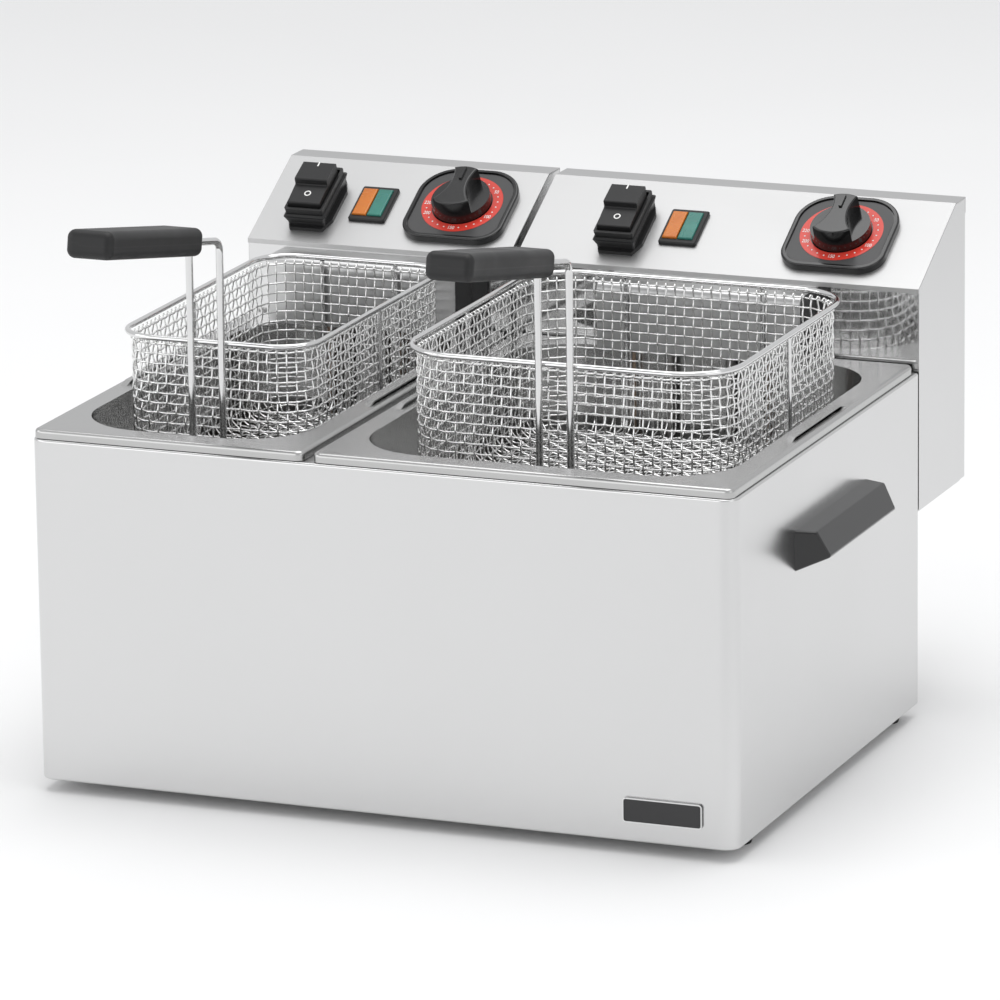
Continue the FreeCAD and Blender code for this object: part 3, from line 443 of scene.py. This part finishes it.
# %% The wall's surface
def hang(tree, base, outward, down, crimp, depth, curl):
    straight = number(tree, "SUBTRACT", depth, curl)
    past = number(tree, "SUBTRACT", down, straight)
    turn = number(tree, "MINIMUM", number(tree, "MAXIMUM", number(tree, "DIVIDE", past, curl), 0.0), math.pi / 2)
    cos = number(tree, "COSINE", turn)
    sin = number(tree, "SINE", turn)
    inwards = number(tree, "MULTIPLY", curl, number(tree, "SUBTRACT", 1.0, cos))
    side_move = number(tree, "SUBTRACT", number(tree, "MULTIPLY", crimp, cos), inwards)
    drop = number(tree, "ADD", number(tree, "MINIMUM", down, straight), number(tree, "MULTIPLY", curl, sin))
    drop = number(tree, "ADD", drop, number(tree, "MULTIPLY", crimp, sin))
    flat = vector(tree, "SCALE", outward, out="Vector")
    tree.links.new(side_move, flat.node.inputs["Scale"])
    fall = add(tree, "ShaderNodeCombineXYZ", {"Z": number(tree, "MULTIPLY", drop, -1.0)}).outputs[0]
    return vector(tree, "ADD", vector(tree, "ADD", base, flat), fall)


def outward_of(tree):
    """The level direction away from the middle, across a level curve."""
    tangent = tree.nodes.new("GeometryNodeInputTangent").outputs[0]
    across = vector(tree, "NORMALIZE", vector(tree, "CROSS_PRODUCT", tangent, (0, 0, 1)))
    here = tree.nodes.new("GeometryNodeInputPosition").outputs[0]
    sign = number(tree, "SIGN", vector(tree, "DOT_PRODUCT", across, here, out="Value"))
    out = vector(tree, "SCALE", across)
    tree.links.new(sign, out.node.inputs["Scale"])
    return out


def swing(tree, along, line, amount, phase):
    """The crimp: a cosine of half a wave for each crossing, opposite on the next line."""
    wave = number(tree, "MULTIPLY", number(tree, "ADD", number(tree, "DIVIDE", along, STEPS), line), math.pi)
    return number(tree, "MULTIPLY", number(tree, "COSINE", wave), number(tree, "MULTIPLY", amount, phase))


# %% Tree for the woven wall
def make_wall_tree():
    tree, given = geometry_tree("woven_wall", [
        ("Width", "NodeSocketFloat", 0.12), ("Length", "NodeSocketFloat", 0.23), ("Corner", "NodeSocketFloat", 0.025),
        ("Depth", "NodeSocketFloat", 0.099), ("Curl", "NodeSocketFloat", BOTTOM_ROUND),
        ("Wire", "NodeSocketFloat", WIRE), ("Crimp", "NodeSocketFloat", CRIMP),
        ("Columns", "NodeSocketInt", 88), ("Rows", "NodeSocketInt", 13),
        ("Row pitch", "NodeSocketFloat", PITCH), ("Top gap", "NodeSocketFloat", 0.004),
        ("Centre", "NodeSocketVector", None), ("Material", "NodeSocketMaterial", None)])
    frame_line = add(tree, "GeometryNodeCurvePrimitiveQuadrilateral",
                     {"Width": given["Width"], "Height": given["Length"]}).outputs[0]
    path = add(tree, "GeometryNodeFilletCurve", {"Curve": frame_line, "Radius": given["Corner"], "Count": 12},
               mode="POLY").outputs[0]

    # level wires: one loop for each row
    count = number(tree, "MULTIPLY", given["Columns"], STEPS)
    loop = add(tree, "GeometryNodeResampleCurve", {"Curve": path, "Count": count}).outputs[0]
    rows = add(tree, "GeometryNodeDuplicateElements", {"Geometry": loop, "Amount": given["Rows"]},
               domain="SPLINE")
    along = tree.nodes.new("GeometryNodeSplineParameter").outputs["Index"]
    row = rows.outputs["Duplicate Index"]
    here = tree.nodes.new("GeometryNodeInputPosition").outputs[0]
    down = number(tree, "MULTIPLY_ADD", row, given["Row pitch"], given["Top gap"])
    crimp = swing(tree, along, row, given["Crimp"], 1.0)
    place = hang(tree, here, outward_of(tree), down, crimp, given["Depth"], given["Curl"])
    level = add(tree, "GeometryNodeSetPosition", {"Geometry": rows.outputs[0], "Position": place}).outputs[0]

    # upright wires: a line of points for each column, which carries its column's base and direction
    stand = add(tree, "GeometryNodeResampleCurve", {"Curve": path, "Count": given["Columns"]}).outputs[0]
    out_here = outward_of(tree)
    keep_out = add(tree, "GeometryNodeStoreNamedAttribute",
                   {"Geometry": stand, "Name": "outward", "Value": out_here}, data_type="FLOAT_VECTOR").outputs[0]
    spots = add(tree, "GeometryNodeCurveToPoints", {"Curve": keep_out}, mode="EVALUATED").outputs[0]
    index = tree.nodes.new("GeometryNodeInputIndex").outputs[0]
    numbered = add(tree, "GeometryNodeStoreNamedAttribute",
                   {"Geometry": spots, "Name": "column", "Value": index}, data_type="FLOAT").outputs[0]
    line = add(tree, "GeometryNodeCurvePrimitiveLine", {"End": (0, 0, -1)}).outputs[0]
    points = number(tree, "ADD", number(tree, "MULTIPLY", given["Rows"], STEPS), 1.0)
    line = add(tree, "GeometryNodeResampleCurve", {"Curve": line, "Count": points}).outputs[0]
    stood = add(tree, "GeometryNodeInstanceOnPoints", {"Points": numbered, "Instance": line}).outputs[0]
    real = add(tree, "GeometryNodeRealizeInstances", {"Geometry": stood}).outputs[0]
    out_saved = add(tree, "GeometryNodeInputNamedAttribute", {"Name": "outward"}, data_type="FLOAT_VECTOR")
    column = add(tree, "GeometryNodeInputNamedAttribute", {"Name": "column"}, data_type="FLOAT").outputs[0]
    step = tree.nodes.new("GeometryNodeSplineParameter").outputs["Index"]
    here = tree.nodes.new("GeometryNodeInputPosition").outputs[0]
    base = vector(tree, "MULTIPLY", here, (1, 1, 0))
    down = number(tree, "MULTIPLY_ADD", number(tree, "DIVIDE", step, STEPS), given["Row pitch"], given["Top gap"])
    crimp = swing(tree, step, column, given["Crimp"], -1.0)
    place = hang(tree, base, out_saved.outputs[0], down, crimp, given["Depth"], given["Curl"])
    upright = add(tree, "GeometryNodeSetPosition", {"Geometry": real, "Position": place}).outputs[0]

    # hooked ends: a small oval ring for each column, round the top level wire
    ring = add(tree, "GeometryNodeCurvePrimitiveCircle", {"Resolution": 10, "Radius": HOOK_RADIUS}).outputs[0]
    tangent = tree.nodes.new("GeometryNodeInputTangent").outputs[0]
    stored = add(tree, "GeometryNodeStoreNamedAttribute",
                 {"Geometry": stand, "Name": "tangent", "Value": tangent}, data_type="FLOAT_VECTOR").outputs[0]
    hooks = add(tree, "GeometryNodeCurveToPoints", {"Curve": stored}, mode="EVALUATED").outputs[0]
    facing = add(tree, "GeometryNodeInputNamedAttribute", {"Name": "tangent"}, data_type="FLOAT_VECTOR").outputs[0]
    turn = add(tree, "FunctionNodeAlignRotationToVector", {"Vector": facing}, axis="Z").outputs[0]
    hooked = add(tree, "GeometryNodeInstanceOnPoints",
                 {"Points": hooks, "Instance": ring, "Rotation": turn}).outputs[0]
    low = add(tree, "ShaderNodeCombineXYZ", {"Z": number(tree, "MULTIPLY", given["Top gap"], -0.8)}).outputs[0]
    hooked = add(tree, "GeometryNodeTranslateInstances", {"Instances": hooked, "Translation": low,
                                                          "Local Space": False}).outputs[0]
    wires = add(tree, "GeometryNodeJoinGeometry")
    for shape in (level, upright, hooked):
        tree.links.new(shape, wires.inputs[0])
    tubes = tube(tree, add(tree, "GeometryNodeRealizeInstances", {"Geometry": wires.outputs[0]}).outputs[0],
                 given["Wire"])
    moved = add(tree, "GeometryNodeTransform", {"Geometry": tubes, "Translation": given["Centre"]}).outputs[0]
    close_tree(tree, moved, given["Material"])
    return tree


WALL_TREE = make_wall_tree()
print("wall tree", len(WALL_TREE.nodes), "nodes")

# %% [markdown]
# The floor is a plain square weave, cut to a rounded rectangle. Each set of wires is a row of straight lines. A
# point that lies outside the rounded outline is deleted, which shortens the wires at the corners as shears would.


# %% Tree for the woven floor
def make_floor_tree():
    tree, given = geometry_tree("woven_floor", [
        ("Width", "NodeSocketFloat", 0.1), ("Length", "NodeSocketFloat", 0.2), ("Corner", "NodeSocketFloat", 0.017),
        ("Across", "NodeSocketInt", 15), ("Along", "NodeSocketInt", 29),
        ("Wire", "NodeSocketFloat", WIRE), ("Crimp", "NodeSocketFloat", CRIMP),
        ("Centre", "NodeSocketVector", None), ("Material", "NodeSocketMaterial", None)])

    def one_set(amount, crossings, span, reach, phase, quarter_turn):
        """Lines side by side along X, each running along Y, then turned if asked."""
        gap = number(tree, "DIVIDE", span, amount)
        points = number(tree, "ADD", number(tree, "MULTIPLY", crossings, STEPS), 1.0)
        half = number(tree, "MULTIPLY", reach, 0.5)
        start = add(tree, "ShaderNodeCombineXYZ", {"Y": number(tree, "MULTIPLY", half, -1.0)}).outputs[0]
        end = add(tree, "ShaderNodeCombineXYZ", {"Y": half}).outputs[0]
        line = add(tree, "GeometryNodeCurvePrimitiveLine", {"Start": start, "End": end}).outputs[0]
        line = add(tree, "GeometryNodeResampleCurve", {"Curve": line, "Count": points}).outputs[0]
        many = add(tree, "GeometryNodeDuplicateElements", {"Geometry": line, "Amount": amount}, domain="SPLINE")
        which = many.outputs["Duplicate Index"]
        middle = number(tree, "MULTIPLY", number(tree, "SUBTRACT", amount, 1.0), 0.5)
        x = number(tree, "MULTIPLY", number(tree, "SUBTRACT", which, middle), gap)
        step = tree.nodes.new("GeometryNodeSplineParameter").outputs["Index"]
        shifted = number(tree, "ADD", step, -STEPS / 2)
        z = swing(tree, shifted, which, given["Crimp"], phase)
        offset = add(tree, "ShaderNodeCombineXYZ", {"X": x, "Z": z}).outputs[0]
        laid = add(tree, "GeometryNodeSetPosition", {"Geometry": many.outputs[0], "Offset": offset}).outputs[0]
        turn = (0, 0, math.pi / 2) if quarter_turn else (0, 0, 0)
        laid = add(tree, "GeometryNodeTransform", {"Geometry": laid, "Rotation": turn}).outputs[0]
        here = vector(tree, "MULTIPLY", tree.nodes.new("GeometryNodeInputPosition").outputs[0], (1, 1, 0))
        half_size = add(tree, "ShaderNodeCombineXYZ", {
            "X": number(tree, "SUBTRACT", number(tree, "MULTIPLY", given["Width"], 0.5), given["Corner"]),
            "Y": number(tree, "SUBTRACT", number(tree, "MULTIPLY", given["Length"], 0.5), given["Corner"])})
        past = vector(tree, "SUBTRACT", vector(tree, "ABSOLUTE", here), half_size.outputs[0])
        past = vector(tree, "MAXIMUM", past, (0, 0, 0))
        outside = number(tree, "GREATER_THAN", vector(tree, "LENGTH", past, out="Value"),
                         number(tree, "ADD", given["Corner"], SHEAR_SLACK))
        return add(tree, "GeometryNodeDeleteGeometry", {"Geometry": laid, "Selection": outside},
                   domain="POINT").outputs[0]

    wires = add(tree, "GeometryNodeJoinGeometry")
    lengthwise = one_set(given["Across"], given["Along"], given["Width"], given["Length"], 1.0, False)
    crosswise = one_set(given["Along"], given["Across"], given["Length"], given["Width"], 1.0, True)
    for shape in (lengthwise, crosswise):
        tree.links.new(shape, wires.inputs[0])
    tubes = tube(tree, wires.outputs[0], given["Wire"])
    moved = add(tree, "GeometryNodeTransform", {"Geometry": tubes, "Translation": given["Centre"]}).outputs[0]
    close_tree(tree, moved, given["Material"])
    return tree


FLOOR_TREE = make_floor_tree()
print("floor tree", len(FLOOR_TREE.nodes), "nodes")

# %% [markdown]
# ## Weaving each basket
# The model's own basket is a closed shell with the weave's outer shape. Its box gives the size of the wall, and
# the weave's middle surface lies half its thickness inside that box. The corner radius is a share that is known
# for each basket. The number of columns is even, so that over and under still alternate where the loops close.

# %% Baskets
MESH_CORNER = {"left": 23.05 * MM, "right": 34.05 * MM}
HALF_WEAVE = 1.0 * MM
TOP_GAP = 4.4 * MM            # from the rim's middle to the first level wire


def triangles(piece):
    piece.data.calc_loop_triangles()
    return len(piece.data.loop_triangles)


def weave_basket(side):
    lo, hi = (Vector(corner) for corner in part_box("basket_mesh_" + side))
    width = hi.x - lo.x - 2 * HALF_WEAVE
    length = hi.y - lo.y - 2 * HALF_WEAVE
    corner = MESH_CORNER[side] - HALF_WEAVE
    depth = hi.z - lo.z - HALF_WEAVE
    centre = Vector(((lo.x + hi.x) / 2, (lo.y + hi.y) / 2, hi.z))
    around = 2 * (width + length) - (8 - 2 * math.pi) * corner
    columns = 2 * round(around / PITCH / 2)
    sheet = depth - BOTTOM_ROUND + BOTTOM_ROUND * math.pi / 2 - TOP_GAP
    rows = round(sheet / PITCH)
    wall = run_tree("weave_wall_" + side, WALL_TREE, {
        "Width": width, "Length": length, "Corner": corner, "Depth": depth, "Curl": BOTTOM_ROUND,
        "Wire": WIRE, "Crimp": CRIMP, "Columns": columns, "Rows": rows, "Row pitch": sheet / rows,
        "Top gap": TOP_GAP, "Centre": centre, "Material": weave_wire})
    floor_width = width - 2 * BOTTOM_ROUND
    floor_length = length - 2 * BOTTOM_ROUND
    floor = run_tree("weave_floor_" + side, FLOOR_TREE, {
        "Width": floor_width, "Length": floor_length, "Corner": corner - BOTTOM_ROUND,
        "Across": round(floor_width / PITCH), "Along": round(floor_length / PITCH), "Wire": WIRE,
        "Crimp": CRIMP, "Centre": centre - Vector((0, 0, depth)), "Material": weave_wire})
    for piece in (wall, floor):
        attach(piece, "basket_body_" + side)
        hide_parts("basket_mesh_" + side)
    print(side, "columns", columns, "rows", rows, "triangles", triangles(wall), triangles(floor))


for side in SIDES:
    weave_basket(side)


# %% [markdown]
# ## Working on the sloping panels
# The dials, switches and lamps sit on a slope. Each knob's joint in the record gives a point on the panel and the
# direction into it, so that a small matrix can carry a flat drawing onto the panel. `drop_on` finds the height of
# a node's surface below a point, the way that a printer's pad comes down on it.


# %% Panel helpers
DROP_HEIGHT = 80 * MM         # higher than any control


def panel_frame(joint_name):
    """Middle of a control, with X to the right, Y up the slope and Z out of the panel."""
    joint = JOINTS[joint_name]
    out = -Vector(JOINTS[joint_name.replace("rocker_tip", "knob_turn")]["axis"]).normalized()
    right = Vector((1, 0, 0))
    up = out.cross(right)
    turn = Matrix((right, up, out)).transposed().to_4x4()
    return Matrix.Translation(Vector(joint["pos_m"])) @ turn


def drop_on(node_name, frame_matrix, x, y):
    """Where a straight line down onto the panel at (x, y) first meets a node, as a matrix on its surface."""
    mesh = NODES[node_name].data
    tree = BVHTree.FromPolygons([v.co.copy() for v in mesh.vertices], [p.vertices[:] for p in mesh.polygons])
    start = frame_matrix @ Vector((x, y, DROP_HEIGHT))
    down = frame_matrix.to_3x3() @ Vector((0, 0, -1))
    spot, normal, _, _ = tree.ray_cast(start, down)
    if normal.dot(down) > 0:
        normal = -normal
    right = frame_matrix.to_3x3() @ Vector((1, 0, 0))
    up = normal.cross(right).normalized()
    return Matrix.Translation(spot) @ Matrix((up.cross(normal), up, normal)).transposed().to_4x4()


def finish_piece(piece, place, body, material):
    """Applies a flat drawing's place to its mesh, dresses it, and lets it ride."""
    piece.data.transform(place)
    piece.data.materials.clear()
    piece.data.materials.append(material)
    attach(piece, body)
    return piece


def flat_ring(name, inner, outer, thick, parts=48):
    """A washer on the XY plane, from z = 0 up."""
    shape = bmesh.new()
    rings = []
    for radius, z in ((inner, 0), (outer, 0), (outer, thick), (inner, thick)):
        rings.append([shape.verts.new((radius * math.cos(a), radius * math.sin(a), z))
                      for a in [2 * math.pi * k / parts for k in range(parts)]])
    for near, far in zip(rings, rings[1:] + rings[:1]):
        for k in range(parts):
            m = (k + 1) % parts
            shape.faces.new((near[k], near[m], far[m], far[k]))
    bmesh.ops.recalc_face_normals(shape, faces=shape.faces)
    mesh = bpy.data.meshes.new(name)
    shape.to_mesh(mesh)
    shape.free()
    piece = bpy.data.objects.new(name, mesh)
    bpy.context.scene.collection.objects.link(piece)
    return piece


# %% [markdown]
# ## The dial's scale
# The red ring is printed with a dot for each ten degrees and a number for each fifty. The dots repeat by a rule,
# so a small tree makes them: points round an arc, with the ones left out where a number stands. The numbers are
# text, made a mesh before their place is applied, and they stand upright as on the real scale.

# %% Dots on the scale
SCALE_STEP = math.radians(12.5)     # turn of the knob for ten degrees of oil temperature
SCALE_START = math.radians(17.0)    # first dot, clockwise from straight up the slope
SCALE_DOTS = 21
SCALE_RADIUS = 23.1 * MM
PRINT_THICK = 0.12 * MM
DOT_RADIUS = 0.55 * MM
FIGURE_HEIGHT = 3.8 * MM
FIGURE_STRETCH = (0.82, 1.12)         # the scale's figures are narrow
NUMBERS = {"50": 3, "100": 8, "150": 13, "200": 18, "220": 20}


def make_scale_tree():
    tree, given = geometry_tree("scale_dots", [
        ("Radius", "NodeSocketFloat", SCALE_RADIUS), ("Start", "NodeSocketFloat", SCALE_START),
        ("Step", "NodeSocketFloat", SCALE_STEP), ("Count", "NodeSocketInt", SCALE_DOTS),
        ("Dot", "NodeSocketFloat", DOT_RADIUS), ("Material", "NodeSocketMaterial", None)])
    spots = add(tree, "GeometryNodePoints", {"Count": given["Count"]}).outputs[0]
    index = tree.nodes.new("GeometryNodeInputIndex").outputs[0]
    angle = number(tree, "MULTIPLY_ADD", index, given["Step"], given["Start"])
    x = number(tree, "MULTIPLY", number(tree, "SINE", angle), given["Radius"])
    y = number(tree, "MULTIPLY", number(tree, "COSINE", angle), given["Radius"])
    place = add(tree, "ShaderNodeCombineXYZ", {"X": x, "Y": y, "Z": PRINT_THICK / 2}).outputs[0]
    placed = add(tree, "GeometryNodeSetPosition", {"Geometry": spots, "Position": place}).outputs[0]
    fifth = number(tree, "COMPARE", number(tree, "FLOORED_MODULO", index, 5.0), 3.0, 0.1)
    last = number(tree, "COMPARE", index, SCALE_DOTS - 1.0, 0.1)
    kept = add(tree, "GeometryNodeDeleteGeometry",
               {"Geometry": placed, "Selection": number(tree, "MAXIMUM", fifth, last)}, domain="POINT").outputs[0]
    dot = add(tree, "GeometryNodeMeshCylinder",
              {"Vertices": 12, "Radius": given["Dot"], "Depth": PRINT_THICK}).outputs[0]
    dots = add(tree, "GeometryNodeInstanceOnPoints", {"Points": kept, "Instance": dot}).outputs[0]
    close_tree(tree, dots, given["Material"])
    return tree


SCALE_TREE = make_scale_tree()


# %% Numbers on the scale
def text_mesh(name, words, height):
    """Upright figures, centred on the origin of the XY plane."""
    curve = bpy.data.curves.new(name, "FONT")
    curve.body = words
    curve.size = height
    curve.align_x = "CENTER"
    curve.align_y = "CENTER"
    curve.extrude = PRINT_THICK / 2
    curve.resolution_u = 4
    holder = bpy.data.objects.new(name + "_text", curve)
    bpy.context.scene.collection.objects.link(holder)
    depsgraph = bpy.context.evaluated_depsgraph_get()
    mesh = bpy.data.meshes.new_from_object(holder.evaluated_get(depsgraph), depsgraph=depsgraph)
    bpy.data.objects.remove(holder)
    return mesh


def print_scale(side):
    place = panel_frame("knob_turn_" + side)
    top = drop_on("dial_ring_" + side, place, SCALE_RADIUS, 0)
    height = (place.inverted() @ top.translation).z
    face = place @ Matrix.Translation((0, 0, height))
    dots = run_tree("scale_dots_" + side, SCALE_TREE, {"Material": print_white})
    finish_piece(dots, face, "head_body_" + side, print_white)
    numbers = bpy.data.meshes.new("scale_numbers_" + side)
    whole = bmesh.new()
    for words, index in NUMBERS.items():
        angle = SCALE_START + index * SCALE_STEP
        mesh = text_mesh("figure_" + words, words, FIGURE_HEIGHT)
        mesh.transform(Matrix.Diagonal((*FIGURE_STRETCH, 1, 1)))
        spot = Vector((math.sin(angle), math.cos(angle), 0)) * SCALE_RADIUS
        mesh.transform(Matrix.Translation(spot + Vector((0, 0, PRINT_THICK / 2))))
        whole.from_mesh(mesh)
    bmesh.ops.remove_doubles(whole, verts=whole.verts, dist=1e-7)
    whole.to_mesh(numbers)
    whole.free()
    piece = bpy.data.objects.new(numbers.name, numbers)
    bpy.context.scene.collection.objects.link(piece)
    finish_piece(piece, face, "head_body_" + side, print_white)
    print(side, "scale printed", round(height / MM, 2), "mm above the panel")


for side in SIDES:
    print_scale(side)

# %% [markdown]
# ## The dial's inner plate
# Inside the glossy rim of each dial lies a thin plate of duller, greyer plastic, and the red ring is let into it.
# It could be painted on the bezel by a mask, but the step between the two is real. So it is a thin solid with a
# round hole: an outer outline and a circle, both with the same number of points, are joined by faces.

# %% Dial plates
PLATE_HALF = (30.4 * MM, 29.9 * MM)   # across and up the slope, just inside the bezel's rim
PLATE_CORNERS = (20.2 * MM, 12.2 * MM)  # upper and lower
PLATE_HOLE = 26.55 * MM
PLATE_THICK = 0.2 * MM
PLATE_SEAT = 28.0 * MM                # a spot on the bezel between its rim and the red ring


def plate_outline(parts=16):
    """Points round the plate: wide round corners above and smaller ones below."""
    points = []
    for sx, sy, start in ((1, 1, 0), (-1, 1, 90), (-1, -1, 180), (1, -1, 270)):
        radius = PLATE_CORNERS[0 if sy > 0 else 1]
        for k in range(parts + 1):
            a = math.radians(start + 90 * k / parts)
            points.append((sx * (PLATE_HALF[0] - radius) + radius * math.cos(a),
                           sy * (PLATE_HALF[1] - radius) + radius * math.sin(a)))
    return points


def lay_dial_plate(side):
    place = panel_frame("knob_turn_" + side)
    seat = drop_on("dial_bezel_" + side, place, 0, -PLATE_SEAT)
    height = (place.inverted() @ seat.translation).z
    outer = plate_outline()
    hole = [Vector(p).normalized() * PLATE_HOLE for p in outer]
    shape = bmesh.new()
    loops = [[shape.verts.new((x, y, z)) for x, y in line]
             for line, z in ((outer, 0), (outer, PLATE_THICK), (hole, PLATE_THICK), (hole, 0))]
    for near, far in zip(loops, loops[1:] + loops[:1]):
        for k in range(len(near)):
            m = (k + 1) % len(near)
            shape.faces.new((near[k], near[m], far[m], far[k]))
    bmesh.ops.recalc_face_normals(shape, faces=shape.faces)
    mesh = bpy.data.meshes.new("dial_plate_" + side)
    shape.to_mesh(mesh)
    shape.free()
    piece = bpy.data.objects.new(mesh.name, mesh)
    bpy.context.scene.collection.objects.link(piece)
    finish_piece(piece, place @ Matrix.Translation((0, 0, height)), "head_body_" + side,
                 dial_plate_grey)
    print(side, "dial plate", round(height / MM, 2), "mm above the panel")


for side in SIDES:
    lay_dial_plate(side)

# %% [markdown]
# ## Marks on the rockers
# A rocker carries a ring for off on its pressed half and a short bar for on at the top edge of its raised half.
# They are moulded in white and filled flush, so each is a thin solid that follows the slope of the face it is on.

# %% Rocker marks
OFF_RING = (1.5 * MM, 2.25 * MM)      # inner and outer radius
OFF_SPOT = -9.2 * MM                  # up the slope from the rocker's pin
ON_SPOT = 14.4 * MM
ON_BAR = (0.9 * MM, 4.0 * MM)


def bar_mesh(name, width, length, thick):
    """A thin bar on the XY plane with small bevels."""
    shape = bmesh.new()
    bmesh.ops.create_cube(shape, size=1.0, matrix=Matrix.Diagonal((width, length, thick, 1)))
    bmesh.ops.bevel(shape, geom=shape.edges[:], offset=thick * 0.3, segments=2, affect="EDGES")
    mesh = bpy.data.meshes.new(name)
    shape.to_mesh(mesh)
    shape.free()
    piece = bpy.data.objects.new(name, mesh)
    bpy.context.scene.collection.objects.link(piece)
    return piece


for side in SIDES:
    place = panel_frame("rocker_tip_" + side)
    ring = flat_ring("rocker_off_mark_" + side, *OFF_RING, PRINT_THICK)
    finish_piece(ring, drop_on("rocker_" + side, place, 0, OFF_SPOT), "rocker_body_" + side,
                 print_white)
    bar = bar_mesh("rocker_on_mark_" + side, *ON_BAR, 2 * PRINT_THICK)
    finish_piece(bar, drop_on("rocker_" + side, place, 0, ON_SPOT), "rocker_body_" + side,
                 print_white)
print("rocker marks placed")

# %% [markdown]
# ## The plate's bright border
# The plate on the front is a blank black lacquered badge with a narrow bright border. The border is a rounded
# frame, made from two outlines that are joined by faces, so that its inner and outer edges stay crisp.

# %% Badge border
BORDER = 0.8 * MM
BORDER_PROUD = 0.05 * MM
BORDER_SUNK = 0.3 * MM
BADGE_CORNER = 2.2 * MM


def rounded_outline(half_x, half_z, radius, parts=6):
    """Points round a rounded rectangle in the XZ plane."""
    points = []
    for sx, sz, start in ((1, 1, 0), (-1, 1, 90), (-1, -1, 180), (1, -1, 270)):
        for k in range(parts + 1):
            a = math.radians(start + 90 * k / parts)
            points.append((sx * (half_x - radius) + radius * math.cos(a),
                           sz * (half_z - radius) + radius * math.sin(a)))
    return points


def make_badge_border():
    lo, hi = (Vector(corner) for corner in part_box("badge"))
    middle = (lo + hi) / 2
    half_x, half_z = (hi.x - lo.x) / 2, (hi.z - lo.z) / 2
    front = lo.y - BORDER_PROUD
    behind = lo.y + BORDER_SUNK
    shape = bmesh.new()
    loops = []
    for inset, y in ((0, behind), (0, front), (BORDER, front), (BORDER, behind)):
        outline = rounded_outline(half_x - inset, half_z - inset, BADGE_CORNER - inset)
        loops.append([shape.verts.new((middle.x + x, y, middle.z + z)) for x, z in outline])
    for near, far in zip(loops, loops[1:] + loops[:1]):
        for k in range(len(near)):
            m = (k + 1) % len(near)
            shape.faces.new((near[k], near[m], far[m], far[k]))
    bmesh.ops.recalc_face_normals(shape, faces=shape.faces)
    mesh = bpy.data.meshes.new("badge_border")
    shape.to_mesh(mesh)
    shape.free()
    piece = bpy.data.objects.new("badge_border", mesh)
    bpy.context.scene.collection.objects.link(piece)
    finish_piece(piece, Matrix.Identity(4), "casing_body", bright_wire)
    print("badge border", round((hi.x - lo.x) / MM, 1), "mm long")


make_badge_border()

# %% [markdown]
# ## Floor and light
# Bare steel shows only what stands around it, so a white room is most of the picture: a pale floor, a bright
# even sky, a large softbox overhead and a tall one at each side. The sides differ in strength, which gives the
# folded sheet its slow change of tone from left to right.


# %% Studio
def stage_floor():
    mesh = bpy.data.meshes.new("floor")
    reach = 14.0
    mesh.from_pydata([(-reach, -reach, 0), (reach, -reach, 0), (reach, reach, 0), (-reach, reach, 0)], [],
                     [(0, 1, 2, 3)])
    floor = bpy.data.objects.new("floor", mesh)
    bpy.context.scene.collection.objects.link(floor)
    material, tree, shader, place = new_material("pale_floor")
    cloud = use_group(tree, HANDLING_PATCHES, Vector=place, Scale=1.3)
    blend_tones_into(tree, shader, cloud, (0.88, 0.88, 0.88), (0.86, 0.86, 0.86))
    shader.inputs["Roughness"].default_value = 0.8
    mesh.materials.append(material)


def softbox(name, spot, target, size, power):
    light = bpy.data.lights.new(name, "AREA")
    light.shape = "RECTANGLE"
    light.size, light.size_y = size
    light.energy = power
    holder = bpy.data.objects.new(name, light)
    holder.location = spot
    holder.rotation_euler = (Vector(target) - Vector(spot)).to_track_quat("-Z", "Y").to_euler()
    bpy.context.scene.collection.objects.link(holder)


stage_floor()
softbox("overhead", (0.1, 0.2, 2.6), (0, 0, 0.2), (2.4, 2.0), 34)
softbox("left_wall", (-2.4, -1.4, 1.3), (0, 0, 0.2), (1.6, 2.0), 12)
softbox("front_fill", (-1.5, -3.6, 1.0), (0, 0, 0.15), (2.6, 2.0), 17)
softbox("right_wall", (2.6, -0.9, 1.2), (0, 0, 0.2), (1.4, 1.8), 6)

world = bpy.data.worlds.new("studio")
world.use_nodes = True
world.node_tree.nodes["Background"].inputs["Color"].default_value = (0.985, 0.99, 1.0, 1)
world.node_tree.nodes["Background"].inputs["Strength"].default_value = 0.76
bpy.context.scene.world = world
bpy.context.scene.view_settings.view_transform = "Standard"
